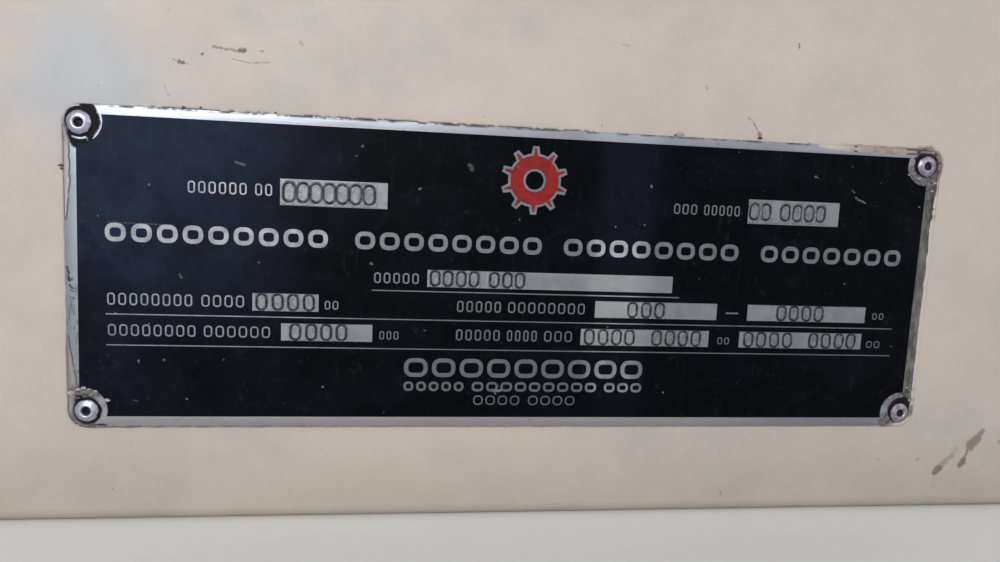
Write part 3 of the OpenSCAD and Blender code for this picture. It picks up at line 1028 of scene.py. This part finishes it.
PANEL_SMEARS = (
    (141.5, -61.3, 143.4, -58.9, 1.9, 0.95), (143.6, -58.7, 146.9, -55.1, 1.7, 0.45),
    (146.9, -55.1, 148.6, -52.9, 1.4, 0.25), (150.7, -58.6, 151.7, -56.6, 1.9, 0.95),
    (151.8, -56.4, 152.9, -53, 0.9, 0.8), (153.6, -52, 155.6, -49.4, 3.2, 0.85),
    (155.8, -49, 157.6, -46.6, 2.2, 0.75), (134.4, -56.4, 135.2, -56.4, 0.7, 0.45),
    (119.9, -56.3, 120.5, -56.3, 0.7, 0.3), (141.3, -65, 141.3, -66, 0.5, 0.35),
    (66.3, -67, 66.2, -68.2, 0.6, 0.5), (164, -50.2, 164.2, -51, 0.7, 0.5),
)
RUST_SPOTS = ((69.25, 47.1, 1.8, 0.6),)

# Marks on the plate's border and on its enamel
BORDER_MARKS = (
    (-129, 0.6, -128.6, -3.2, 0.5, 0.8), (-128.8, -1.6, -128, -3, 0.4, 0.7),
    (-128.6, -4.4, -127.6, -5.4, 0.5, 0.8), (-128.2, -5.6, -127.6, -6.2, 0.35, 0.7),
    (-128.4, -7.6, -127.6, -8, 0.4, 0.6), (-128.6, 23, -128.4, 17, 0.25, 0.5),
    (128.3, 30, 128.8, 20.5, 0.7, 0.5), (127.4, -27, 127, -33, 0.6, 0.5),
    (105.5, 44.7, 109.5, 44.6, 0.3, 0.6), (-123.2, -44.2, -120, -44.3, 0.55, 0.9),
    (-118.4, -44.7, -115.8, -44.8, 0.3, 0.5),
)
PLATE_SCRATCHES = (
    (-118.5, 13.4, -103, 13.2, 0.22, 0.35), (-111, -25.4, -110.9, -26, 0.45, 0.7),
    (-112.4, -37.1, -111.6, -37.1, 0.35, 0.35), (-9.6, -33.6, -7.2, -33.3, 0.9, 1),
    (-8.9, -34.2, -8.5, -32.4, 0.6, 0.8), (102.2, 29.2, 105.8, 27.6, 0.5, 0.55),
    (100.6, 31.6, 101.6, 30.8, 0.4, 0.35), (-84.6, 31.4, -82.2, 30.6, 0.6, 0.5),
    (-19.2, 33.6, -18.6, 32.4, 1.1, 0.35), (-49.85, 37.45, 0.6, 0.5), (-33.45, 25.95, 0.7, 0.7),
    (-46.9, 4.2, -46.6, 4, 0.6, 0.6), (35.75, 29.75, 0.7, 0.7), (88.3, 35.2, 88.8, 34.9, 0.6, 0.6),
    (123.9, 27.3, 124.2, 27.2, 0.45, 0.8), (-107.35, 24.1, 0.5, 0.5), (-120.9, 15, 0.5, 0.5),
    (-99.6, -0.8, -99.3, -1.3, 0.6, 0.5), (-78.25, 3.35, 0.5, 0.5), (-104.25, -25.05, 0.6, 0.5),
    (-87.95, -24.9, 0.5, 0.4), (-30.75, -15.45, 0.5, 0.5),
)


def panel_edge_wear(shade):
    """Distance from the panel's nearest fold, and 1 on the faces of its inside."""
    middle = (PANEL_HIGH + PANEL_LOW) / 2 - MIDDLE
    half = (PANEL_HIGH - PANEL_LOW) / 2
    from_sides = half.x - abs(shade.u)
    from_ends = half.z - abs(shade.v - middle.z)
    from_faces = half.y - abs(shade.depth - middle.y)
    nearest = shade.least(from_sides, from_ends)
    farthest = shade.most(from_sides, from_ends)
    second = shade.most(nearest, shade.least(farthest, from_faces))
    return second, shade.least(nearest, from_faces).ramp(0.9, 1.6)


def rivet_smudge(shade):
    """Brown crust on the paint round the right hand rivets."""
    ragged = (shade.noise(2.2, 4.0, 0.6, shift=41) - 0.5) * 3.4
    upper_ring = abs(shade.distance_to(RIVET_U + 0.3, RIVET_V + 0.2) - 4.6)
    above = (shade.u - RIVET_U + shade.v).ramp(RIVET_V - 4, RIVET_V)
    upper = (upper_ring + ragged).ramp(2.2, 0.8) * above
    lower = (shade.distance_to(RIVET_U + 3.4, 1.0 - RIVET_V) + ragged).ramp(3.4, 1.4)
    return shade.most(upper * 0.95, lower * 0.45)


def cream_coats(shade, front):
    """Blotches, painted blue light, soil with painted shade low down, flecks and crust; gives the paint's
    height and roughness.
    """
    shade.coat(shade.noise(46, 3.0, 0.55, warp=0.4).ramp(0.35, 0.68), CREAM_GREY)
    shade.coat(shade.noise(7, 4.0, 0.6, shift=9).ramp(0.3, 0.75) * 0.35, CREAM_WARM)
    shade.coat(shade.noise(1.1, 3.0, 0.65, shift=3).ramp(0.52, 0.8) * 0.2, CREAM_SOIL)
    # Painted light: a bluish cast at the panel's upper left corner.
    drift = (shade.noise(15, 4.0, shift=51) - 0.5) * 26
    painted_blue_light = (shade.distance_to(-124, 53) + drift).ramp(28, 4)
    shade.coat(painted_blue_light * front * 0.85, CREAM_PAINTED_BLUE_LIGHT)
    # Darker towards the bottom: partly soil, partly painted shade.
    low_soil_and_shade = (shade.v + shade.noise(20) * 30).ramp(-28, -62)
    shade.coat(low_soil_and_shade * 0.36, CREAM_SOIL)
    flecks, chance = shade.cells(19.0, 5.0)
    fleck_size = chance.ramp(0.7, 1.0, 0.0, 0.7) * shade.noise(0.8, 3.0)
    shade.coat((flecks - fleck_size).ramp(0.05, -0.15) * 0.35, SCUFF)
    crust = shade.mix(shade.noise(0.9, 4.0, 0.65, shift=91).ramp(0.35, 0.62), BROWN_DIRT, CRUST)
    shade.coat(rivet_smudge(shade) * front, crust)
    bumps = shade.noise(1.6, 2.0, 0.5) * 0.35
    brush = shade.noise(1.0, 2.0, 0.5, stretch=(14, 1, 1), shift=5) * 0.25
    sag = shade.noise(38, 1.0, 0.4, shift=12) * 0.9
    roughness = shade.noise(16, 3.0, 0.6, shift=2).ramp(0.3, 0.7, 0.4, 0.58)
    return bumps + brush + sag, roughness


def panel_paint():
    """The panel's aged cream paint, with scuffs, chipped folds and a dusty inside."""
    shade = Shade("panel_cream_paint", CREAM)
    front = shade.depth.ramp(PLATE_T + 1.4, PLATE_T + 0.6)
    height, roughness = cream_coats(shade, front)
    kinds = (PANEL_SCUFFS, 0.95, SCUFF), (PANEL_SMEARS, 0.8, BROWN_DIRT), (RUST_SPOTS, 1.0, RUST)
    for strokes, strength, tone in kinds:
        shade.coat(shade.marks(strokes) * front * strength, tone)
    near_edge, inside_tray = panel_edge_wear(shade)
    ragged = shade.noise(4.5, 5.0, 0.65, shift=21) * 5.2
    chips = (near_edge + ragged).ramp(2.1, 1.75)
    shade.coat(chips, shade.mix(shade.noise(2.0, 3.0), PRIMER, RUST))
    shade.coat((near_edge + ragged * 0.7).ramp(4.2, 1.6) * 0.3, CREAM_SOIL)
    dusty = shade.noise(24, 4.0, 0.6, shift=31).ramp(0.25, 0.7, 0.35, 0.9)
    shade.coat(inside_tray * dusty, INSIDE_DUST)
    runs = shade.noise(7.0, 3.0, 0.5, stretch=(1, 1, 12), shift=17).ramp(0.52, 0.74)
    shade.coat(runs * inside_tray * 0.35, CREAM_SOIL)
    roughness = shade.between(shade.most(chips, inside_tray), roughness, 0.72)
    return shade.finish(roughness, height - chips * 0.9, 0.055, Specular_IOR_Level=0.42)


def lapped_paint():
    """The same paint where it laps over the plate's edge, dulled, streaked, dirty and painted dark as
    shade at the edge.
    """
    shade = Shade("lapped_cream_paint", CREAM)
    height, roughness = cream_coats(shade, shade.depth.ramp(PLATE_T + 1.4, PLATE_T + 0.6))
    dull = shade.u.ramp(92, 104) * shade.v.ramp(38, 42)
    shade.coat(dull * shade.noise(3, 4.0).ramp(0.35, 0.6, 0.6, 1.0), LAP_BROWN)
    left = shade.u.ramp(-124, -127)
    shade.coat(left * 0.75, LAP_PINK)
    low_left = shade.u.ramp(-100, -120) * shade.v.ramp(-14, -24)
    streaks = shade.noise(0.7, 4.0, 0.6, stretch=(1, 1, 8), shift=13).ramp(0.3, 0.7, 0.45, 0.95)
    shade.coat(low_left * streaks, LAP_GREY)
    shade.coat(rivet_soil(shade) * 0.8, soil_colour(shade))
    # Dirt, and painted shade where the paint meets the plate's edge.
    dirt_and_edge_shade = shade.value_of("dirt_and_edge_shade") * shade.noise(1.6, 4.0, 0.6).ramp(0.3, 0.5, 0.45, 0.95)
    shade.coat(dirt_and_edge_shade, shade.mix(left, DIRT, LAP_DIRT))
    return shade.finish(shade.between(dirt_and_edge_shade, roughness, 0.75), height, 0.055, Specular_IOR_Level=0.42)


def near_rivets(shade):
    """Distance to the nearest rivet's middle."""
    folded = shade.vector("ABSOLUTE", shade.flat)
    return shade.measure("DISTANCE", folded, (RIVET_U, RIVET_V, 0))


def round_patches(shade, patches, name, edge, ragged):
    """The strongest of several round patches beside a rivet, each (across, up, radius, strength)."""
    total = 0.0
    for across, up, radius, strength in patches:
        distance = shade.distance_to(RIVETS[name][0] + across, RIVETS[name][1] + up)
        patch = (distance + ragged).ramp(radius, radius - edge)
        total = shade.most(total, patch * strength)
    return total


def rivet_grease(shade):
    """Dark grease on the lobe round each rivet, with a ragged edge and brightly rubbed arcs."""
    ragged = (shade.noise(1.5, 4.0, 0.55, shift=6) - 0.5) * 1.1
    total = 0.0
    for name, patches in GREASE.items():
        full = [(*patch, 1.0) for patch in patches]
        total = shade.most(total, round_patches(shade, full, name, 0.7, ragged))
    for rubbed in BRIGHT_ARCS:
        total = total * (1.0 - arc_mask(shade, *rubbed))
    return total


def rivet_soil(shade):
    """Duller dirt on the metal and the paint near the rivets."""
    ragged = (shade.noise(1.1, 5.0, 0.7, shift=81) - 0.5) * 4.0
    total = 0.0
    for name, patches in DULL_DIRT.items():
        total = shade.most(total, round_patches(shade, patches, name, 1.6, ragged))
    return total


def soil_colour(shade):
    """Mottled dirt, pinkish where it is pale."""
    mottle = shade.noise(1.0, 4.0, 0.65, shift=87).ramp(0.36, 0.64)
    return shade.mix(mottle, SOIL_DARK, SOIL_PALE)


def arc_mask(shade, name, radius, half_width, turn, half_turn):
    """1 on part of a ring round a rivet."""
    place = RIVETS[name]
    off_ring = abs(shade.distance_to(*place) - radius)
    ragged = (shade.noise(1.3, 3.0, shift=71) - 0.5) * half_width
    on_ring = (off_ring + ragged).ramp(half_width * 1.25, half_width * 0.7)
    angle = math.radians(turn)
    towards = (place[0] + radius * math.cos(angle), place[1] + radius * math.sin(angle))
    reach = 2 * radius * math.sin(math.radians(half_turn) / 2)
    near = shade.distance_to(*towards).ramp(reach * 1.1, reach * 0.85)
    return on_ring * near


def dull_border(shade, edge, painted_highlight_band):
    """Dull the border's left end, its foot, and its top away from the left corner and the painted
    highlight band.
    """
    on_left = shade.u.ramp(-120, -124) * shade.v.ramp(-38, -34)
    on_foot = shade.v.ramp(-36, -41)
    down_left = on_left * shade.v.ramp(38, 24, 0.0, 0.8)
    # The painted highlight band keeps the top bright.
    along_top = shade.u.ramp(-116, -45, 0.0, 0.9) - painted_highlight_band * shade.v.ramp(38, 41, 0.0, 0.6)
    along = shade.between(on_foot, shade.most(along_top, down_left), 0.85)
    cloud = shade.noise(14, 4.0, 0.6, shift=4).ramp(0.3, 0.72)
    foot_tone = shade.mix(shade.u.ramp(40, 112), FOOT_DULL, BARE_DULL)
    tone = shade.mix(on_foot, shade.mix(on_left, BARE_DULL, LEFT_DULL), foot_tone)
    shade.coat(edge.ramp(6.0, 4.6) * along * shade.between(cloud, 0.75, 1.1), tone)


def dull_marks(shade, painted_highlight_band, battered):
    """Dull the raised marks and the value fields, with painted light on both; gives where they are."""
    tarnish = shade.value_of("tarnish")
    mark = tarnish.ramp(0.1, 0.45)
    # Painted light: the marks are lighter at the left end, in the highlight band and towards the top, and
    # patchy.
    painted_light_and_patchiness = shade.most(shade.u.ramp(-62, -46, 0.65, 0.28), painted_highlight_band) * shade.v.ramp(-28, 6, 0.6, 1.0)
    painted_light_and_patchiness = painted_light_and_patchiness * shade.noise(3.2, 4.0, 0.6, shift=44).ramp(0.3, 0.7, 0.6, 1.2)
    shade.coat(mark, shade.mix(painted_light_and_patchiness, MARK_DULL, MARK_BRIGHT))
    struck = battered * shade.noise(1.0, 3.0, 0.6, shift=52).ramp(0.35, 0.65, 0.0, 0.7)
    # Painted highlight: the fields are paler in the highlight band.
    tone = shade.mix(painted_highlight_band * 0.55, shade.mix(struck, TARNISHED, FIELD_DULL), FIELD_BRIGHT)
    patchy = shade.noise(4, 4.0, 0.6, shift=8).ramp(0.3, 0.7, 0.6, 1.0)
    shade.coat(tarnish.ramp(0.55, 0.95) * patchy, tone)
    return mark


def metal_grime(shade, edge):
    """Grease round the rivets, specks, soiled edges, smudges at the left end, and dark marks."""
    specks = shade.noise(1.3, 5.0, 0.7, shift=14).ramp(0.63, 0.72)
    edge_soil = edge.ramp(0.9, 0.1) * shade.noise(5.0, 5.0, 0.7).ramp(0.42, 0.58)
    smudges = shade.noise(2.6, 5.0, 0.65, shift=24).ramp(0.57, 0.66)
    streaked = shade.noise(0.8, 4.0, 0.6, stretch=(1, 1, 6), shift=34).ramp(0.53, 0.63)
    low_left = shade.u.ramp(-125.0, -127.0) * shade.v.ramp(4, -6)
    side_smudges = low_left * shade.most(smudges, streaked * 0.7)
    grime = rivet_grease(shade)
    for mask in (specks * 0.55, edge_soil * 0.8, side_smudges * 0.6, shade.marks(BORDER_MARKS)):
        grime = shade.most(grime, mask)
    return grime


def metal_soil(shade):
    """Crust on the right end and duller dirt near the rivets; gives how far they cover the metal."""
    ragged = shade.noise(2.4, 5.0, 0.6, stretch=(1, 1, 3)).ramp(0.3, 0.55, 0.75, 1.0)
    crusted = shade.u.ramp(125.0, 126.0) * ragged
    mottle = shade.noise(1.6, 5.0, 0.6, stretch=(1, 1, 3), shift=61).ramp(0.38, 0.64)
    shade.coat(crusted, shade.mix(mottle, RIGHT_SOIL, RIGHT_PALE))
    soil = rivet_soil(shade)
    shade.coat(soil, soil_colour(shade))
    return shade.most(crusted * 0.7, soil)


def bare_metal():
    """Etched aluminium: brushed, dulled in the value fields, with a painted highlight band, inked punch
    marks and greasy corners.
    """
    shade = Shade("plate_bare_aluminium", BARE)
    streaks = shade.noise(0.7, 3.0, 0.6, stretch=(26, 1, 1))
    shade.coat(streaks.ramp(0.35, 0.7) * 0.35, BARE_STREAK)
    edge = shade.least(PLATE_W / 2 - abs(shade.u), PLATE_H / 2 - abs(shade.v))
    # Painted highlight: an upright band across the plate, about 27 mm right of its middle.
    painted_highlight_band = abs(shade.u - 27).ramp(14, 4)
    battered = shade.value_of("battered")
    dull_border(shade, edge, painted_highlight_band)
    mark = dull_marks(shade, painted_highlight_band, battered)
    grime = metal_grime(shade, edge)
    ink = shade.value_of("ink") * shade.noise(1.2, 4.0, 0.65).ramp(0.3, 0.6, 0.65, 1.0)
    dirty = shade.most(grime, ink)
    covered = shade.most(dirty, metal_soil(shade))
    shade.coat(dirty, shade.mix(ink, GRIME_AND_SHADE, INK))
    rough = shade.between(mark, streaks.ramp(0.3, 0.7, 0.36, 0.5), 0.52)
    rough = shade.between(dirty, rough, 0.60)
    waves = battered * shade.noise(1.4, 2.0, shift=15) * 4.0
    height = streaks * 0.4 + grime * 0.6 + waves
    metallic = shade.between(covered, 1.0, 0.0)
    return shade.finish(rough, height, 0.02, Metallic=metallic, Specular_IOR_Level=0.10)


def dust_specks(shade, size, chance_low, largest, shift):
    """Pale specks scattered one to a cell, in the cells whose random number is high."""
    distance, chance = shade.cells(size, shift)
    radius = chance.ramp(chance_low, 1.0, 0.0, largest)
    uneven = (shade.noise(0.5, 2.0, shift=shift) - 0.5) * (largest * 1.6)
    inside = radius - (distance + uneven)
    present = shade.math("GREATER_THAN", chance, chance_low)
    return inside.ramp(0.0, 0.12) * present


def enamel_painted_light_and_smears(shade):
    """A painted bluish reflection at the upper left, wiped oil, a painted highlight in an upright band and
    a thin film.
    """
    drift = (shade.noise(30, 3.0) - 0.5) * 70
    # Painted reflection: a bluish cast at the upper left corner and along the left end.
    corner = (shade.distance_to(-122, 42) + drift).ramp(92, 8)
    painted_reflection_strip = (shade.u + drift).ramp(-70, -122) * 0.16
    cloudy = shade.noise(9, 4.0, 0.6, shift=3).ramp(0.2, 0.75, 0.45, 1.0)
    oil = shade.noise(18, 4.0, 0.6, stretch=(1.6, 1, 1), shift=8, warp=0.8).ramp(0.46, 0.66)
    shade.coat(oil * 0.8, ENAMEL_OIL)
    # Painted highlight: an upright band, paler towards the top.
    painted_enamel_highlight = abs(shade.u - 29.0).ramp(12.0, 5.0) * shade.v.ramp(-40.0, 35.0, 0.35, 0.9)
    shade.coat(painted_enamel_highlight, ENAMEL_PAINTED_HIGHLIGHT)
    shade.coat(shade.most(corner, painted_reflection_strip) * cloudy, ENAMEL_PAINTED_REFLECTION)
    wipes = shade.noise(1.1, 3.0, 0.6, stretch=(1, 1, 16), shift=11).ramp(0.6, 0.75)
    shade.coat(wipes * 0.1, ENAMEL_WIPED)
    film = shade.noise(2.6, 5.0, 0.7, shift=19).ramp(0.56, 0.74)
    shade.coat(film * 0.1, ENAMEL_FILM)


def black_enamel():
    """Near-black enamel with a painted reflection and highlight, oily, with fine scratches, flecks and
    pale specks of dust.
    """
    shade = Shade("plate_black_enamel", ENAMEL)
    enamel_painted_light_and_smears(shade)
    flecks = shade.noise(1.5, 4.0, 0.6, shift=29).ramp(0.58, 0.68)
    fleck_place = shade.distance_to(-124, 13).ramp(12, 4, 0.0, 0.5)
    fleck_place = shade.most(fleck_place, shade.distance_to(-116, -24).ramp(5, 2, 0.0, 0.45))
    shade.coat(flecks * fleck_place, ENAMEL_FLECK)
    specks = dust_specks(shade, 9.5, 0.74, 0.34, 3.0)
    fine_specks = dust_specks(shade, 3.4, 0.84, 0.16, 27.0)
    specks = shade.most(specks, fine_specks * 0.6)
    scratches = shade.marks(PLATE_SCRATCHES)
    pale = shade.most(specks * 0.55, scratches * 0.75)
    shade.coat(pale, DUST)
    rough = shade.noise(12, 4.0, 0.6, shift=6).ramp(0.3, 0.7, 0.3, 0.48)
    rough = shade.between(pale, rough, 0.7)
    height = shade.noise(0.8, 3.0) * 0.3 + specks * 0.3
    return shade.finish(rough, height, 0.015, Specular_IOR_Level=0.035)


def red_enamel():
    shade = Shade("plate_red_enamel", RED)
    worn = shade.noise(3.4, 4.0, 0.6).ramp(0.42, 0.66)
    shade.coat(worn * 0.55, RED_DARK)
    specks = dust_specks(shade, 2.6, 0.7, 0.26, 5.0)
    shade.coat(specks * 0.5, DUST)
    rough = shade.noise(5, 3.0).ramp(0.3, 0.7, 0.3, 0.46)
    return shade.finish(rough, shade.noise(0.8, 3.0), 0.012, Specular_IOR_Level=0.16)


def rivet_metal():
    """Soft aluminium with a bright collar, turned marks, painted shade on the dome and in the hole, a dark
    rim at the plate.
    """
    shade = Shade("rivet_aluminium", RIVET_METAL)
    to_rivet = near_rivets(shade)
    turning = {"W": to_rivet * 4.0, "Scale": 1.0, "Detail": 2.0}
    turned_marks = Value(shade, shade.node("ShaderNodeTexNoise", turning, "Fac", noise_dimensions="1D"))
    cloud = shade.noise(1.5, 4.0, 0.6, shift=3).ramp(0.3, 0.7)
    shade.coat(cloud * 0.4, RIVET_SHADE)
    # Painted shade on the dome outside the collar, patchy.
    painted_dome_shade = to_rivet.ramp(1.95, 2.4) * shade.noise(1.1, 3.0, shift=9).ramp(0.3, 0.7, 0.15, 0.6)
    shade.coat(painted_dome_shade, RIVET_SHADE)
    # The right-hand heads darker: painted shade and soil.
    right_shade_and_soil = shade.u.ramp(60, 70) * shade.noise(1.8, 4.0).ramp(0.3, 0.62, 0.3, 0.85)
    shade.coat(right_shade_and_soil, RIVET_RIGHT_SHADE_AND_SOIL)
    # A dark rim where the head meets the plate, and painted shade in the mouth of the hole.
    rim = (to_rivet + shade.noise(1.2, 4.0) * 0.9).ramp(3.32, 3.7)
    hole = to_rivet.ramp(1.24, 1.06)
    front = shade.depth.ramp(0.6, 0.2)
    rim_hole_shade_and_pits = shade.most(rim, hole) * front
    pits = shade.noise(0.5, 4.0, 0.7, shift=5).ramp(0.66, 0.76)
    rim_hole_shade_and_pits = shade.most(rim_hole_shade_and_pits, pits * 0.5)
    shade.coat(rim_hole_shade_and_pits, GRIME_AND_SHADE)
    metallic = shade.between(shade.most(rim_hole_shade_and_pits, right_shade_and_soil * 0.5), 1.0, 0.0)
    rough = shade.between(rim_hole_shade_and_pits, turned_marks.ramp(0.3, 0.7, 0.3, 0.42), 0.6)
    height = turned_marks * 0.35 + cloud * 0.4
    return shade.finish(rough, height, 0.015, Metallic=metallic, Specular_IOR_Level=0.2)


# Near-black mandrel steel: painted shade of the rivets' holes, with rust spots.
def mandrel_steel():
    shade = Shade("mandrel_steel", MANDREL_PAINTED_SHADE)
    rusty = shade.noise(0.7, 4.0, 0.6).ramp(0.45, 0.62)
    shade.coat(rusty, MANDREL_RUST_IN_SHADE)
    rough = shade.between(rusty, 0.38, 0.75)
    return shade.finish(rough, shade.noise(0.25, 3.0), 0.02, Metallic=shade.between(rusty, 0.9, 0.1))


def dried_grease():
    shade = Shade("dried_grease", DIRT)
    shade.coat(shade.noise(0.6, 4.0).ramp(0.35, 0.65), DRY_DIRT)
    rough = shade.noise(0.9, 2.0).ramp(0.3, 0.7, 0.55, 0.8)
    return shade.finish(rough, shade.noise(0.3, 4.0), 0.05)


def flaked_paint():
    shade = Shade("flaked_cream_paint", OLD_PAINT)
    shade.coat(shade.noise(0.5, 4.0).ramp(0.4, 0.62), OLD_PAINT_SHADE)
    return shade.finish(0.6, shade.noise(0.3, 4.0), 0.05)


def paint_node(node, material):
    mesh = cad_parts[node].data
    mesh.materials.clear()
    mesh.materials.append(material)


# Stage


def make_floor():
    shade = Shade("pale_floor", PALE)
    shade.coat(shade.noise(180, 3.0) * 0.25, PALE_SHADE)
    material = shade.finish(0.7, Specular_IOR_Level=0.2)
    outline = [Vector((*place, 0.0)) * MM for place in circle((0.0, 0.0), FLOOR_R, 96)]
    make_mesh("floor", outline, [tuple(range(len(outline)))], material)


def make_world():
    """Even pale surroundings: the camera and reflections see them a little lighter than they shine."""
    world = bpy.data.worlds.new("studio")
    bpy.context.scene.world = world
    world.use_nodes = True
    sky = Graph(world.node_tree)
    rays = sky.node("ShaderNodeLightPath", {}).node.outputs
    seen = rays["Is Camera Ray"]
    for kind in ("Is Glossy Ray", "Is Transmission Ray"):
        seen = sky.most(seen, rays[kind])
    background = sky.nodes["Background"].inputs
    sky.give(background["Color"], (0.86, 0.87, 0.88, 1))
    strength = sky.node("ShaderNodeMapRange", {"Value": seen, "To Min": 0.50, "To Max": 0.85})
    sky.give(background["Strength"], strength)


def soft_light(name, place, size, power, colour=(1, 1, 1)):
    """A square area light, placed from the plate's middle and facing it."""
    light = bpy.data.lights.new(name, "AREA")
    light.shape = "SQUARE"
    light.size = size * MM
    light.energy = power
    light.color = colour
    lamp = in_scene(name, light)
    lamp.location = (MIDDLE + Vector(place)) * MM
    lamp.rotation_euler = Vector(place).to_track_quat("Z", "Y").to_euler()


def make_lights():
    soft_light("key", (-260, -680, 310), 500, 3.6, (1.0, 0.995, 0.99))
    soft_light("fill", (750, -600, 450), 800, 1.5, (0.98, 0.99, 1.0))
    soft_light("back", (300, 1100, 700), 900, 5.0)


# The camera, solved from the four rivets: its place from the plate's middle, and its turns in degrees
CAMERA_PLACE = (-37.6, -211.0, 26.3)
CAMERA_AZIMUTH = 7.73
CAMERA_TILT = -7.04
CAMERA_ROLL = 2.5
CAMERA_LENS = 25.99


def make_camera():
    data = bpy.data.cameras.new("camera")
    data.lens = CAMERA_LENS
    data.sensor_width = 36.0
    data.sensor_fit = "HORIZONTAL"
    data.clip_start = 0.01
    camera = in_scene("camera", data)
    turned = (
        Matrix.Rotation(math.radians(-CAMERA_AZIMUTH), 4, "Z")
        @ Matrix.Rotation(math.radians(90 + CAMERA_TILT), 4, "X")
        @ Matrix.Rotation(math.radians(CAMERA_ROLL), 4, "Z")
    )
    camera.matrix_world = Matrix.Translation((MIDDLE + Vector(CAMERA_PLACE)) * MM) @ turned
    bpy.context.scene.camera = camera


def dress():
    metal, black, red = bare_metal(), black_enamel(), red_enamel()
    make_enamels(*make_plate(metal), black, red)
    rivet = rivet_metal()
    for seed, name in enumerate(RIVET_NAMES):
        make_rivet(name, rivet, 3.1 * seed + 1.7)
    steel = mandrel_steel()
    for name in RIVET_NAMES:
        paint_node("mandrel_" + name, steel)
    paint_node("cover_panel", panel_paint())
    make_paint_lap(lapped_paint())
    make_crumbs("grease_crumbs", CRUMBS, dried_grease(), "panel_paint")
    make_crumbs("paint_flakes", FLAKES, flaked_paint(), "panel_paint")


make_camera()
dress()
make_floor()
make_world()
make_lights()
bpy.context.scene.view_settings.view_transform = "Standard"
